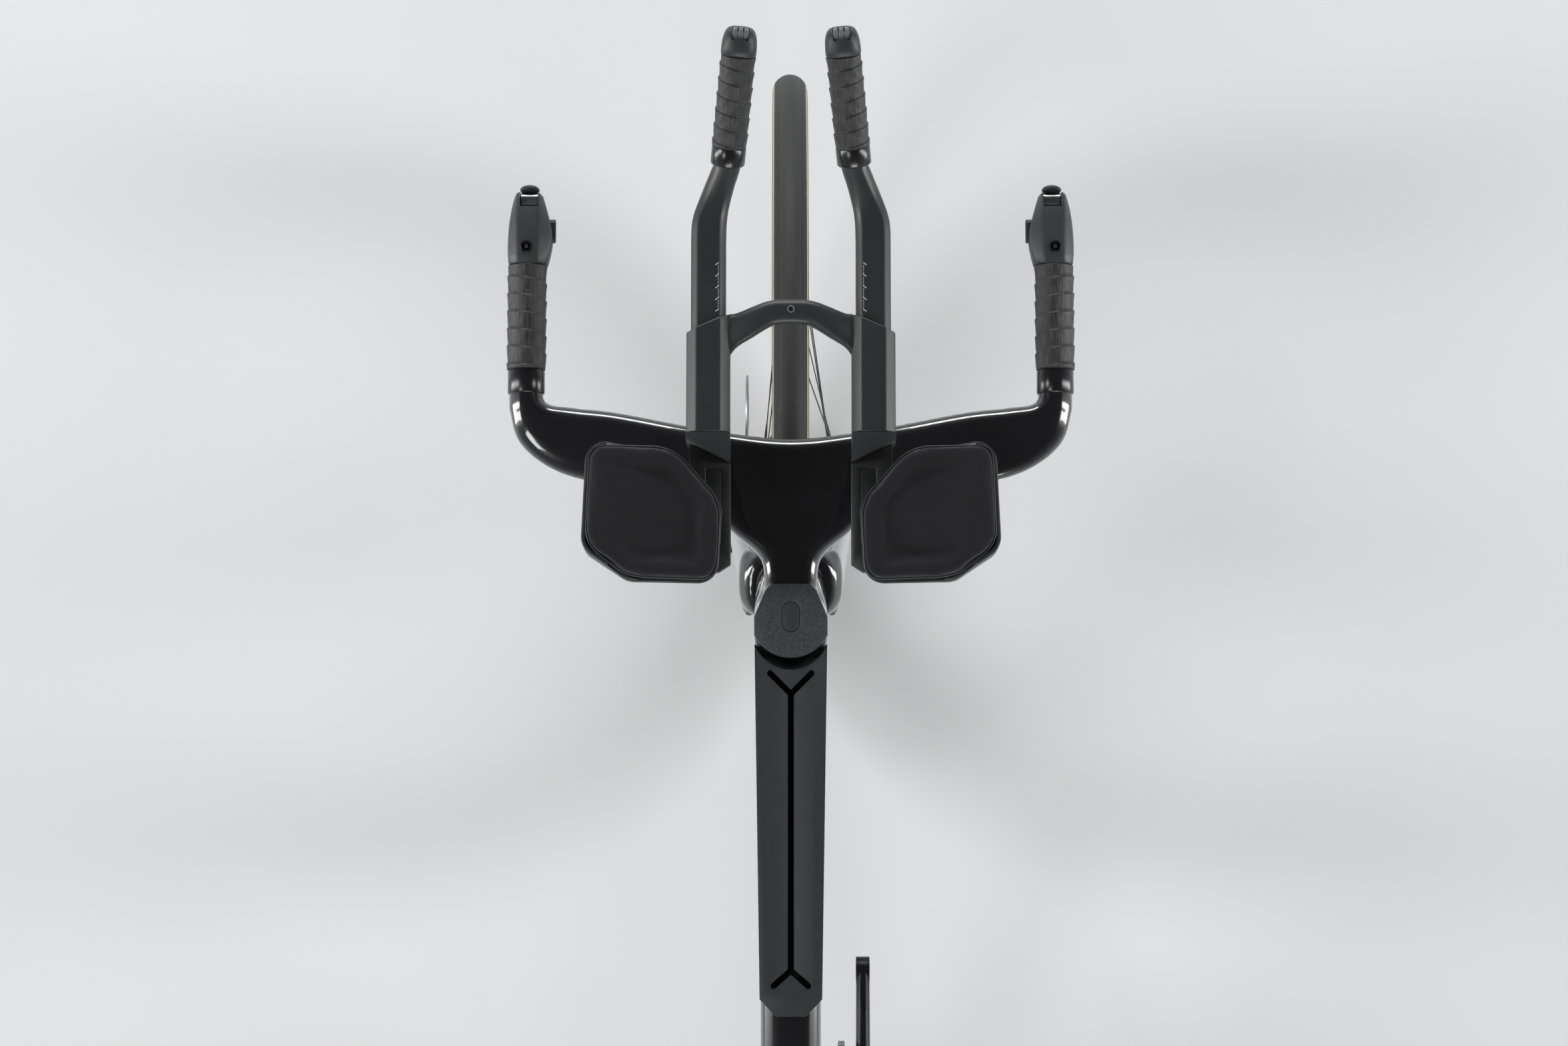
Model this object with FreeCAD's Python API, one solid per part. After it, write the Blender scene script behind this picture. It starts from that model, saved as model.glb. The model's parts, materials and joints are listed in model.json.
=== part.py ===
import FreeCAD, Part
import math
import os

# Time trial bicycle. Millimetres, +X forward, +Y to the rider's left, +Z up.
# The origin lies on the ground midway between the axles.

V = FreeCAD.Vector
X_AXIS = V(1, 0, 0)
Y_AXIS = V(0, 1, 0)
Z_AXIS = V(0, 0, 1)
LEFT, RIGHT = 1, -1

# wheels and tyres
wheelbase = 1012.0
front_axle_ahead = 506.0
bead_radius = 311.0
tyre_height = 28.0
tyre_width = 29.5
rim_depth = 62.0
rim_width = 27.0
rim_nose = 7.0
front_spokes = 20
rear_spokes = 24
spoke_wide = 2.4
spoke_thick = 1.0
rotor_radius = 80.0
rotor_track = 14.0
rotor_thick = 1.8
rotor_inset = 13.0

# axles and hubs
front_spacing = 100.0
rear_spacing = 142.0
axle_radius = 6.0
hub_radius = 13.0
flange_radius = 21.0
flange_thick = 3.0
front_flanges = (22.0, -36.0)
rear_flanges = (36.0, -19.0)
end_cap_radius = 9.5
run_fit = 0.05
seat_gap = 0.3

# frame
bb_drop = 72.0
stay_run = 409.7
bb_shell_radius = 23.0
bb_shell_width = 76.0
bb_bearing_radius = 20.0
bb_bearing_width = 8.0
spindle_radius = 12.0
head_angle = 72.5
fork_offset = 42.0
crown_clear = 33.0
head_length = 90.0
steerer_radius = 14.3
head_bore = 17.0
upper_bearing_radius = 21.0
lower_bearing_radius = 24.0
bearing_height = 8.0
head_width = 56.0
head_depth = 92.0
head_nose = 34.0
down_tube_depth = 64.0
down_tube_width = 42.0
top_tube_depth = 40.0
top_tube_width = 46.0
seat_tube_depth = 66.0
seat_tube_width = 36.0
seat_tube_top = 752.0
seat_angle = 76.0
top_tube_below = 3.46
stay_depth = 26.0
stay_width = 13.5
dropout_thick = 9.0
boss_spacing = 64.0
boss_radius = 2.5
boss_depth = 12.0
down_tube_start = V(-26.24, 0, -79.46)
seat_stay_height = 600.0

# fork
leg_chord_top = 60.0
leg_chord_foot = 30.0
leg_thick_top = 22.0
leg_thick_foot = 12.0
leg_spread_top = 32.0
crown_drop = 26.0
crown_width = 82.0
crown_sweep = 50.0
fork_eye = 15.0
steer_gap = 0.6

# storage box on the top tube
lid_behind = 22.24
lid_length = 275.4
lid_half_front = 27.1
lid_half_rear = 23.2
lid_chamfer = 12.7
lid_tail_half = 11.0
lid_rise_front = 34.5
lid_rise_rear = 16.5
lid_thick = 3.0
box_wall = 3.0
box_skirt = 8.0
slit_width = 4.6
slit_from_front = 37.3
slit_from_rear = 33.8
slit_arm_front = 15.4
slit_arm_rear = 12.8
slit_arm_rear_run = 11.3
stem_clear = 29.6

# base bar and stem; lengths ahead are from the top of the head tube
wing_ahead = 103.76
stem_height = 31.53
bar_below_cover = 16.0
wing_thick = 22.0
horn_y = 200.0
horn_radius = 13.0
horn_bend = 65.0
band_long = 18.5
band_radius = 14.0
tape_long = 80.5
tape_radius = 15.3
tape_turns = 6
horn_plug = 6.0
cover_thick = 5.0
cover_behind = 32.74
cover_long = 55.2
cover_half = 27.4
cover_front_half = 19.4
plug_from_rear = 19.3
plug_long = 22.3
plug_width = 12.6
plug_fit = 0.2

# aero extensions
ext_y = 61.0
ext_above_bar = 67.0
ext_width = 26.0
ext_height = 24.0
ext_chamfer = 4.5
ext_inside = 16.0
ext_straight = 142.0
ext_fit = 0.1
grip_offset = V(42, -14, 16)
grip_run = V(74, -8.5, 39)
grip_core = 11.0
grip_radius = 13.4
grip_band = 14.0
pod_length = 19.0
pod_radius = 12.4
pod_button = 5.0
pod_button_proud = 3.0
button_fit = 0.15
button_travel = 1.5
sleeve_wall = 3.2
sleeve_ahead = 24.0
sleeve_long_outer = 75.0
sleeve_long_inner = 89.0
bridge_thick = 13.0
bridge_bow = 10.4
bridge_wide = 17.6
bridge_screw_in = 7.6
wedge_long_outer = 6.4
wedge_long_inner = 22.3
riser_long = 40.0
riser_wide = 22.0
riser_behind = 13.0

# arm rests
rail_long = 80.3
rail_width = 30.5
rail_above = 6.0
rail_thick = 11.0
insert_width = 11.8
insert_in = 4.2
insert_end = 17.0
insert_depth = 1.5
cup_base = 3.2
cup_wall = 3.0
cup_room = 0.8
cup_height = 24.0
pad_thick = 27.0
pad_corner = 12.0
pad_outline = [(11.9, 85.6), (6, 25.9), (-30.3, -6.3), (-84.5, -4), (-82, 57.1), (-62, 88)]
arm_radius = 75.0

# brake levers on the base bar
lever_long = 56.0
pivot_back = 4.5
pivot_in = 1.4
pivot_below = 2.0
lever_barrel = 5.5
lever_barrel_wide = 13.0
lever_thick = 10.0
lever_pin = 2.5
lever_room = 0.4
bar_button_back = 29.0
bar_button_long = 18.0
bar_button_high = 8.0
bar_button_in = 21.4

# seat post and saddle
post_depth = 44.0
post_width = 22.0
post_fit = 0.1
post_insert = 110.0
post_drop = 50.0
saddle_above = 234.0
saddle_length = 252.0
saddle_width = 132.0
saddle_ahead = 133.6
shell_thick = 5.0
padding = 22.0
rail_radius = 3.5
rail_spread = 22.0

# drive
chain_pitch = 12.7
ring_teeth = 52
cogs = [11, 12, 13, 14, 15, 16, 17, 19, 21, 24, 27, 30]
engaged_cog = 6
cog_step = 3.65
small_cog_y = -66.5
cog_thick = 1.6
ring_thick = 2.0
pulley_teeth = 12
pulley_thick = 1.6
roller_radius = 3.85
plate_high = 8.2
plate_thick = 0.65
plate_gap = 0.1
inner_width = 2.5
crank_length = 170.0
crank_wide = 26.0
crank_thick = 13.0
crank_inner = 57.0
pedal_thread = 7.14
chain_links = 112
guide_pulley_drop = 97.0
guide_pulley_ahead = 14.0
cage_length = 92.0
cage_gap = 3.4
cage_thick = 1.6
cage_wide = 16.0
cage_pivot_radius = 8.0
pulley_pin = 3.0
link_length = 45.0
link_spread = 16.0
link_thick = 6.0
link_high = 14.0
link_pin = 3.0
link_level = 275.0
inner_link_y = -64.0
freehub_radius = 16.0
spider_reach = 57.0
ring_bore = 48.0
hanger_drop = 34.0
hanger_back = 14.0
hanger_bolt = 5.0

# working places that follow from the sizes above
tyre_radius = bead_radius + tyre_height
axle_z = tyre_radius
crown_height = tyre_radius + crown_clear
front_axle = V(front_axle_ahead, 0, axle_z)
rear_axle = front_axle - V(wheelbase, 0, 0)
bottom_bracket = rear_axle + V(stay_run, 0, -bb_drop)
chain_y = small_cog_y + engaged_cog * cog_step
tilt = math.radians(head_angle)
steer_up = V(-math.cos(tilt), 0, math.sin(tilt))
steer_ahead = V(math.sin(tilt), 0, math.cos(tilt))
steer_base = front_axle - steer_ahead * fork_offset
seat_tilt = math.radians(seat_angle)
seat_up = V(-math.cos(seat_tilt), 0, math.sin(seat_tilt))
seat_ahead = V(math.sin(seat_tilt), 0, math.cos(seat_tilt))
steer_top = steer_base + steer_up * (crown_height + steer_gap + 2 + head_length)
top_tube_front = steer_top.z - top_tube_below
down_tube_top = steer_top + down_tube_start

lid_front = steer_top.x - lid_behind
lid_rear = lid_front - lid_length
lid_top_front = steer_top.z + lid_rise_front
lid_top_rear = steer_top.z + lid_rise_rear
slit_front = lid_front - slit_from_front
slit_rear = lid_rear + slit_from_rear

bar_x = steer_top.x + wing_ahead
cover_base = steer_top.z + stem_height
bar_level = cover_base - bar_below_cover
cover_rear = steer_top.x - cover_behind
cover_front = cover_rear + cover_long
plug_rear = cover_rear + plug_from_rear
plug_front = plug_rear + plug_long
band_start = bar_x + horn_bend
tape_start = band_start + band_long
tape_end = tape_start + tape_long
horn_end = tape_end + horn_plug
lever_rear = tape_end
lever_front = lever_rear + lever_long
lever_pivot = V(lever_front - pivot_back, horn_y - pivot_in, bar_level - pivot_below)
bar_button_x = lever_front - bar_button_back
bar_button_face = horn_y - bar_button_in

ext_level = bar_level + ext_above_bar
sleeve_rear = bar_x + sleeve_ahead
sleeve_front_outer = sleeve_rear + sleeve_long_outer
sleeve_front_inner = sleeve_rear + sleeve_long_inner
bridge_front = sleeve_front_inner + bridge_bow
bridge_rear = bridge_front - bridge_wide
bridge_screw = V(bridge_front - bridge_screw_in, 0, 0)
ext_rear = sleeve_rear + ext_inside
ext_bend = ext_rear + ext_straight
grip_rear = V(ext_bend, ext_y, ext_level) + grip_offset
grip_front = grip_rear + grip_run
wedge_outer = sleeve_rear - wedge_long_outer
wedge_inner = sleeve_rear - wedge_long_inner
riser_centre = sleeve_rear - riser_behind
rail_rear = wedge_inner - rail_long
rail_top = ext_level + rail_above
insert_y = ext_y - insert_in
insert_rear = rail_rear + insert_end

saddle_top = seat_tube_top + saddle_above
saddle_nose = bottom_bracket.x + seat_up.x * (saddle_top - bottom_bracket.z) / seat_up.z + saddle_ahead


def cylinder(start, direction, radius, length):
    return Part.makeCylinder(radius, length, start, direction)


def rod(start, end, radius):
    return cylinder(start, end - start, radius, (end - start).Length)


def tube(start, direction, outer, inner, length):
    return cylinder(start, direction, outer, length).cut(cylinder(start, direction, inner, length))


# a bar of equal flats; its corners, or with "flats" its flats, lie at the radius
def bar(start, direction, radius, length, sides=12, flats=False):
    axis = V(direction).normalize()
    across = axis.cross(Z_AXIS if abs(axis.z) < 0.9 else X_AXIS).normalize()
    up = axis.cross(across)
    reach = radius / math.cos(math.pi / sides) if flats else radius
    points = []
    for k in range(sides):
        angle = 2 * math.pi * (k + 0.5) / sides
        points.append(start + across * (math.cos(angle) * reach) + up * (math.sin(angle) * reach))
    return prism(points, axis * length)


def block(x0, x1, y0, y1, z0, z1):
    return Part.makeBox(x1 - x0, y1 - y0, z1 - z0, V(x0, y0, z0))


def prism(points, direction):
    return Part.Face(Part.makePolygon(points + [points[0]])).extrude(direction)


def signed_power(value, power):
    return math.copysign(abs(value) ** power, value)


# a closed section of flats; fullness 2 is an ellipse, more is squarer, and taper
# widens the end that "along" points to
def section(centre, along, across, length, width, fullness=2.0, taper=0.0, count=16):
    points = []
    for k in range(count):
        angle = 2 * math.pi * (k + 0.5) / count
        a = signed_power(math.cos(angle), 2 / fullness)
        b = signed_power(math.sin(angle), 2 / fullness) * (1 + taper * a)
        points.append(centre + along * (a * length / 2) + across * (b * width / 2))
    return Part.makePolygon(points + [points[0]])


def loft(sections):
    rings = [[corner.Point for corner in wire.OrderedVertexes] for wire in sections]
    faces = [Part.Face(sections[0]), Part.Face(sections[-1])]
    for low, high in zip(rings, rings[1:]):
        for k in range(len(low)):
            a, b, c, d = low[k - 1], low[k], high[k], high[k - 1]
            normal = (b - a).cross(d - a)
            flat = abs((c - a).dot(normal)) < 1e-4 * normal.Length
            for corners in ([(a, b, c, d)] if flat else [(a, b, c), (a, c, d)]):
                faces.append(Part.Face(Part.makePolygon(list(corners) + [corners[0]])))
    shell = Part.Shell(faces)
    shell.sewShape()
    solid = Part.Solid(shell)
    if solid.Volume < 0:
        solid.reverse()
    return solid


def fuse(shapes):
    return shapes[0].multiFuse(shapes[1:]).removeSplitter()


def mirrored(shape):
    return shape.mirror(V(0, 0, 0), Y_AXIS)


def on_steerer(height):
    return steer_base + steer_up * height


def revolved(profile, centre, axis=Y_AXIS):
    wire = Part.makePolygon(profile + [profile[0]])
    return Part.Face(wire).revolve(centre, axis, 360)


# a point at an angle and a radius round a cross axle, y along it
def turned(angle, radius, y=0.0):
    return V(math.cos(angle) * radius, y, math.sin(angle) * radius)


# a point of a wheel's profile: radius straight up from the axle, y along it
def at_wheel(axle, radius, y):
    return axle + V(0, y, radius)


def make_tyre(axle):
    foot = bead_radius + 1
    half = tyre_width / 2
    widest = tyre_radius - half
    stations = [(foot, rim_width / 2 - 3), (widest, half), (widest + half * 0.6, half * 0.8)]
    stations.append((tyre_radius, half * 0.28))
    profile = [at_wheel(axle, radius, y) for radius, y in stations]
    profile += [at_wheel(axle, radius, -y) for radius, y in reversed(stations)]
    return revolved(profile, axle)


# the rim swells a little below the bead and tapers to a rounded inner edge
def rim_inner():
    return bead_radius + 1 - rim_depth


def make_rim(axle):
    outer = bead_radius + 1
    inner = rim_inner()
    profile = []
    stations = [(outer, rim_width), (outer - rim_depth * 0.35, rim_width)]
    stations += [(inner + rim_nose, rim_nose * 2), (inner, rim_nose * 0.8)]
    for radius, width in stations:
        profile.append(at_wheel(axle, radius, width / 2))
    for radius, width in reversed(stations):
        profile.append(at_wheel(axle, radius, -width / 2))
    return revolved(profile, axle)


# bladed spokes, alternately leading and trailing, pair by pair on both flanges
def make_spokes(axle, count, flange_left, flange_right):
    spokes = []
    reach = rim_inner() - 0.2
    hole = flange_radius + 1.4
    for k in range(count):
        flange = flange_left if k % 2 else flange_right
        lead = 1 if (k // 2) % 2 else -1
        rim_angle = 2 * math.pi * k / count
        hub_angle = rim_angle + lead * math.radians(62)
        start = axle + turned(hub_angle, hole, flange)
        end = axle + turned(rim_angle, reach, math.copysign(1.2, flange))
        line = (end - start).normalize()
        wide = line.cross(Y_AXIS).normalize() * (spoke_wide / 2)
        thin = line.cross(wide).normalize() * (spoke_thick / 2)
        corners = [start + wide + thin, start - wide + thin, start - wide - thin, start + wide - thin]
        spokes.append(prism(corners, end - start))
    return spokes


# the hub shell with its flanges, end caps and a through bore for the axle; a rear hub
# carries a round freehub body on the drive side
def make_hub(axle, spacing, flange_left, flange_right, freehub=0.0):
    half = spacing / 2
    shoulder = half - 5

    def ring(y0, y1, radius, sides=20):
        return bar(axle + Y_AXIS * y0, Y_AXIS, radius, y1 - y0, sides)

    shapes = [ring(-half, half, end_cap_radius), ring(flange_right, shoulder, hub_radius)]
    for flange in (flange_left, flange_right):
        shapes.append(ring(flange - flange_thick / 2, flange + flange_thick / 2, flange_radius))
    if freehub:
        shapes.append(cylinder(axle + Y_AXIS * (3 - half), Y_AXIS, freehub, half - 3 + flange_right))
    else:
        shapes.append(ring(-shoulder, flange_right, hub_radius))
    return fuse(shapes).cut(cylinder(axle - Y_AXIS * half, Y_AXIS, axle_radius + run_fit, spacing))


# disc rotor: a drilled braking track on six slanted arms and a centre ring
def make_rotor(axle, y):
    base = axle + V(0, y - rotor_thick / 2, 0)
    inner = rotor_radius - rotor_track
    centre = hub_radius + 7
    rotor = tube(base, Y_AXIS, rotor_radius, inner, rotor_thick)
    rotor = rotor.fuse(tube(base, Y_AXIS, centre, hub_radius + run_fit, rotor_thick))
    arms = 6
    for k in range(arms):
        angle = 2 * math.pi * k / arms
        foot = turned(angle, centre - 2)
        tip = turned(angle + 0.5, inner + 2)
        wide = (tip - foot).cross(Y_AXIS).normalize() * 4
        corners = [foot - wide, foot + wide, tip + wide, tip - wide]
        rotor = rotor.fuse(prism([base + c for c in corners], Y_AXIS * rotor_thick))
    holes = []
    vents = 12
    for k in range(vents):
        spot = turned(2 * math.pi * k / vents, inner + rotor_track * (0.35 + 0.3 * (k % 2)))
        corners = [spot + turned(2 * math.pi * j / 6, 2.2) for j in range(6)]
        holes.append(prism([base + c for c in corners], Y_AXIS * rotor_thick))
    return rotor.cut(Part.makeCompound(holes)).removeSplitter()


# sprockets: straight flanks from a flat seat under each roller to a blunt tip
def pitch_radius(teeth):
    return chain_pitch / (2 * math.sin(math.pi / teeth))


def make_sprocket(centre, teeth, phase, thick, bore, bore_sides=0):
    step = 2 * math.pi / teeth
    root = (pitch_radius(teeth) - roller_radius - 0.15) / math.cos(0.19 * step)
    tip = pitch_radius(teeth) + 3.0
    base = centre - Y_AXIS * (thick / 2)
    points = []
    for k in range(teeth):
        seat = phase + k * step
        points.append(base + turned(seat - 0.19 * step, root))
        points.append(base + turned(seat + 0.19 * step, root))
        points.append(base + turned(seat + 0.5 * step, tip))
    hole = bar(base, Y_AXIS, bore, thick, bore_sides, True) if bore_sides else cylinder(base, Y_AXIS, bore, thick)
    return prism(points, Y_AXIS * thick).cut(hole)


# chain path: circles with a turning sense, joined by their common tangents
def tangent(first, r1, sense1, second, r2, sense2):
    line = second - first
    far = line.Length
    heading = math.atan2(line.z, line.x)
    lean = math.asin((sense1 * r1 - sense2 * r2) / far)
    angle = heading + math.pi / 2 - lean
    return first + turned(angle, sense1 * r1), second + turned(angle, sense2 * r2)


def chain_loop(cage_angle):
    guide = guide_centre()
    tension = guide + turned(cage_angle, cage_length)
    pulley = pitch_radius(pulley_teeth)
    stops = [(rear_axle, pitch_radius(cogs[round(engaged_cog)]), 1), (bottom_bracket, pitch_radius(ring_teeth), 1)]
    stops += [(tension, pulley, 1), (guide, pulley, -1)]
    pieces = []
    joins = [tangent(*stops[k], *stops[(k + 1) % 4]) for k in range(4)]
    for k in range(4):
        leave, arrive = joins[k]
        pieces.append(("line", leave, arrive))
        centre, radius, sense = stops[(k + 1) % 4]
        begin = joins[k][1] - centre
        end = joins[(k + 1) % 4][0] - centre
        turn = math.atan2(end.z, end.x) - math.atan2(begin.z, begin.x)
        turn = -(-turn % (2 * math.pi)) if sense > 0 else turn % (2 * math.pi)
        pieces.append(("arc", centre, radius, math.atan2(begin.z, begin.x), turn))
    return pieces


def guide_centre():
    return rear_axle + V(guide_pulley_ahead, 0, -guide_pulley_drop)


def piece_length(piece):
    if piece[0] == "line":
        return (piece[2] - piece[1]).Length
    return abs(piece[4]) * piece[2]


def along_loop(pieces, distance):
    distance = distance % sum(piece_length(p) for p in pieces)
    for piece in pieces:
        length = piece_length(piece)
        if distance <= length:
            break
        distance -= length
    if piece[0] == "line":
        return piece[1] + (piece[2] - piece[1]) * (distance / length)
    return piece[1] + turned(piece[3] + piece[4] * distance / length, piece[2])


# walk the loop in exact pitches; returns the pins and how far the walk ran round
def walk_chain(pieces, links):
    travelled = 0.0
    pins = [along_loop(pieces, 0.0)]
    for _ in range(links):
        low, high = chain_pitch * 0.98, chain_pitch * 1.2
        for _ in range(40):
            middle = (low + high) / 2
            if (along_loop(pieces, travelled + middle) - pins[-1]).Length < chain_pitch:
                low = middle
            else:
                high = middle
        travelled += low
        pins.append(along_loop(pieces, travelled))
    return pins, travelled


# the cage swings until the chosen number of links closes the loop; rearward
# swing, towards low angles, takes up chain
def solve_cage():
    low, high = math.radians(-150), math.radians(-20)
    for _ in range(30):
        middle = (low + high) / 2
        pieces = chain_loop(middle)
        spare = walk_chain(pieces, chain_links)[1] - sum(piece_length(p) for p in pieces)
        if spare > 0:
            high = middle
        else:
            low = middle
    return middle


# one chain plate: a six-sided outline round two pins
def chain_plate(pin_a, pin_b, y):
    ahead = (pin_b - pin_a).normalize()
    side = ahead.cross(Y_AXIS) * (plate_high / 2)
    end = ahead * (plate_high / 2)
    outline = [pin_a - end, pin_a + side, pin_b + side, pin_b + end, pin_b - side, pin_a - side]
    return prism([p + Y_AXIS * y for p in outline], Y_AXIS * plate_thick)


def chain_roller(pin, y):
    outline = [pin + Y_AXIS * y + turned(math.pi * k / 3, roller_radius - 0.3) for k in range(6)]
    return prism(outline, Y_AXIS * inner_width)


# inner links carry the rollers; outer plates straddle them
def make_chain(pins):
    links = []
    half = inner_width / 2
    outside = half + plate_thick + plate_gap
    for k in range(chain_links):
        a, b = pins[k], pins[k + 1]
        if k % 2:
            links.append(chain_plate(a, b, chain_y + outside))
            links.append(chain_plate(a, b, chain_y - outside - plate_thick))
        else:
            plates = [chain_plate(a, b, chain_y + half), chain_plate(a, b, chain_y - half - plate_thick)]
            rollers = [chain_roller(a, chain_y - half), chain_roller(b, chain_y - half)]
            links += plates + rollers
    return links


# the roller that sits deepest on a sprocket sets the angle of its teeth
def tooth_phase(pins, centre, teeth):
    radius = pitch_radius(teeth)
    nearest = min(pins, key=lambda p: abs((p - centre).Length - radius))
    arm = nearest - centre
    return math.atan2(arm.z, arm.x)


def make_cassette(pins):
    phase = tooth_phase(pins, rear_axle, cogs[round(engaged_cog)])
    bore = freehub_radius + run_fit
    splines = 12
    shapes = []
    for k, teeth in enumerate(cogs):
        centre = rear_axle + Y_AXIS * (small_cog_y + k * cog_step)
        shapes.append(make_sprocket(centre, teeth, phase, cog_thick, bore, splines))
    first = rear_axle + Y_AXIS * (small_cog_y - cog_thick / 2)
    run = (len(cogs) - 1) * cog_step + cog_thick
    spacer = bar(first, Y_AXIS, freehub_radius + 2.0, run, splines, True)
    shapes.append(spacer.cut(bar(first, Y_AXIS, bore, run, splines, True)))
    return fuse(shapes)


def make_chainring(pins):
    centre = bottom_bracket + Y_AXIS * chain_y
    ring = make_sprocket(centre, ring_teeth, tooth_phase(pins, bottom_bracket, ring_teeth), ring_thick, ring_bore, 20)
    windows = 5
    for k in range(windows):
        middle = 2 * math.pi * (k + 0.5) / windows
        inner, outer = spider_reach + 5, pitch_radius(ring_teeth) - 13
        corners = [turned(middle - 0.40, inner), turned(middle - 0.46, outer), turned(middle, outer + 3)]
        corners += [turned(middle + 0.46, outer), turned(middle + 0.40, inner)]
        base = centre - Y_AXIS * (ring_thick / 2)
        ring = ring.cut(prism([base + c for c in corners], Y_AXIS * ring_thick))
    return ring


# a crank arm from the spindle eye to the pedal thread; side is LEFT or RIGHT
def crank_arm(side, direction):
    inner, outer = crank_inner, crank_inner + crank_thick
    middle = side * (inner + outer) / 2
    sections = []
    for share, wide, thick in [(0, 34, 1.0), (0.3, 27, 1.0), (0.8, 22, 0.9), (1, 24, 0.9)]:
        at = bottom_bracket + V(direction * share * crank_length, middle, 0)
        sections.append(section(at, Z_AXIS, Y_AXIS, crank_wide * wide / 26, crank_thick * thick, 3.5))
    arm = loft(sections)
    eye = crank_wide * 0.66
    far = bottom_bracket + V(direction * crank_length, 0, 0)
    arm = arm.fuse(cylinder(bottom_bracket + Y_AXIS * side * inner, Y_AXIS * side, eye, crank_thick))
    pad = crank_thick * 0.9
    arm = arm.fuse(cylinder(far + Y_AXIS * (middle - side * pad / 2), Y_AXIS * side, crank_wide * 0.46, pad))
    return arm.cut(cylinder(far + Y_AXIS * side * (inner - 5), Y_AXIS * side, pedal_thread, crank_thick + 10))


def make_crank_right():
    arm = crank_arm(RIGHT, 1)
    face = chain_y - ring_thick / 2
    boss_length = crank_inner + face + 1
    boss = cylinder(bottom_bracket + Y_AXIS * face, -Y_AXIS, crank_wide * 0.9, boss_length)
    spider = []
    for k in range(5):
        angle = 2 * math.pi * k / 5
        along, across = turned(angle, 1), turned(angle + math.pi / 2, 1)
        outline = [across * 11, along * spider_reach + across * 6, along * spider_reach - across * 6, across * -11]
        base = bottom_bracket + Y_AXIS * face
        spider.append(prism([base + p for p in outline], -Y_AXIS * 4.5))
    reach = crank_inner + crank_thick - 1
    spindle = cylinder(bottom_bracket + Y_AXIS * face, Y_AXIS, spindle_radius, reach - face)
    body = fuse([arm, boss])
    return Part.makeCompound([body, spindle] + [finger.cut(body) for finger in spider])


def make_crank_left():
    bore = cylinder(bottom_bracket, Y_AXIS, spindle_radius + run_fit, 200)
    collar = cylinder(bottom_bracket + Y_AXIS * (bb_shell_width / 2 + seat_gap), Y_AXIS, spindle_radius + 5,
                      crank_inner - bb_shell_width / 2)
    return fuse([crank_arm(LEFT, -1), collar]).cut(bore)


def make_bb_bearings():
    rings = []
    for side in (LEFT, RIGHT):
        start = bottom_bracket + Y_AXIS * side * (bb_shell_width / 2 - bb_bearing_width)
        rings.append(tube(start, Y_AXIS * side, bb_bearing_radius, spindle_radius + run_fit, bb_bearing_width))
    return rings


# derailleur: the base bolts to the hanger and carries two parallel links
def link_pivot(which, end):
    x = guide_centre().x - 13 - (0 if end == "knuckle" else link_length)
    return V(x, inner_link_y - (link_spread if which == "outer" else 0), link_level)


def make_derailleur_link(which):
    a, b = link_pivot(which, "base"), link_pivot(which, "knuckle")
    low = a.z - link_high / 2
    wide, end = link_thick / 2, link_pin + 2.5
    plan = [V(a.x - end, a.y - wide / 2, low), V(a.x - end / 2, a.y - wide - 1, low)]
    plan += [V(b.x + end / 2, a.y - wide - 1, low), V(b.x + end, a.y - wide / 2, low)]
    plan += [V(p.x, 2 * a.y - p.y, low) for p in reversed(plan)]
    link = prism(plan, Z_AXIS * link_high)
    holes = [cylinder(V(p.x, p.y, low), Z_AXIS, link_pin + run_fit, link_high) for p in (a, b)]
    return link.cut(Part.makeCompound(holes))


def hanger_point():
    outer = -(rear_spacing / 2 + dropout_thick)
    return rear_axle + V(-hanger_back, outer, -hanger_drop)


def make_derailleur_base():
    a, b = link_pivot("outer", "base"), link_pivot("inner", "base")
    top = link_high / 2 + seat_gap
    plate = block(a.x - 8, a.x + 8, a.y - 6, b.y + 6, a.z + top, a.z + top + 7)
    pins = [cylinder(p - Z_AXIS * (link_high / 2), Z_AXIS, link_pin, link_high + 4) for p in (a, b)]
    knob = bar(hanger_point() - Y_AXIS * seat_gap, -Y_AXIS, 11, 13)
    heel = hanger_point()
    y0, y1 = heel.y - 13, heel.y - seat_gap
    outline = [V(heel.x - 2, y1, heel.z + 11), V(heel.x + 9, y1, heel.z - 6)]
    outline += [V(a.x + 8, y1, a.z + top), V(a.x - 8, y1, a.z + top), V(a.x - 8, y1, a.z + top + 12)]
    arm = prism(outline, -Y_AXIS * (y1 - y0))
    bolt = cylinder(heel + Y_AXIS * (dropout_thick - 1), -Y_AXIS, hanger_bolt - run_fit, dropout_thick + 4)
    return fuse([plate, knob, arm, bolt] + pins)


def make_derailleur_knuckle():
    a, b = link_pivot("outer", "knuckle"), link_pivot("inner", "knuckle")
    low = link_high / 2 + seat_gap
    plate = block(a.x - 7, a.x + 15, a.y - 6, b.y + 6, a.z - low - 18, a.z - low)
    pins = [cylinder(p - Z_AXIS * (low + 4), Z_AXIS, link_pin, low + 4 + link_high / 2) for p in (a, b)]
    face = chain_y - cage_gap - cage_thick - seat_gap
    mouth = guide_centre() + Y_AXIS * face
    barrel = bar(mouth, -Y_AXIS, cage_pivot_radius + 6, 14)
    socket = cylinder(mouth, -Y_AXIS, cage_pivot_radius + run_fit, 8)
    return fuse([barrel, plate] + pins).cut(socket)


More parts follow.
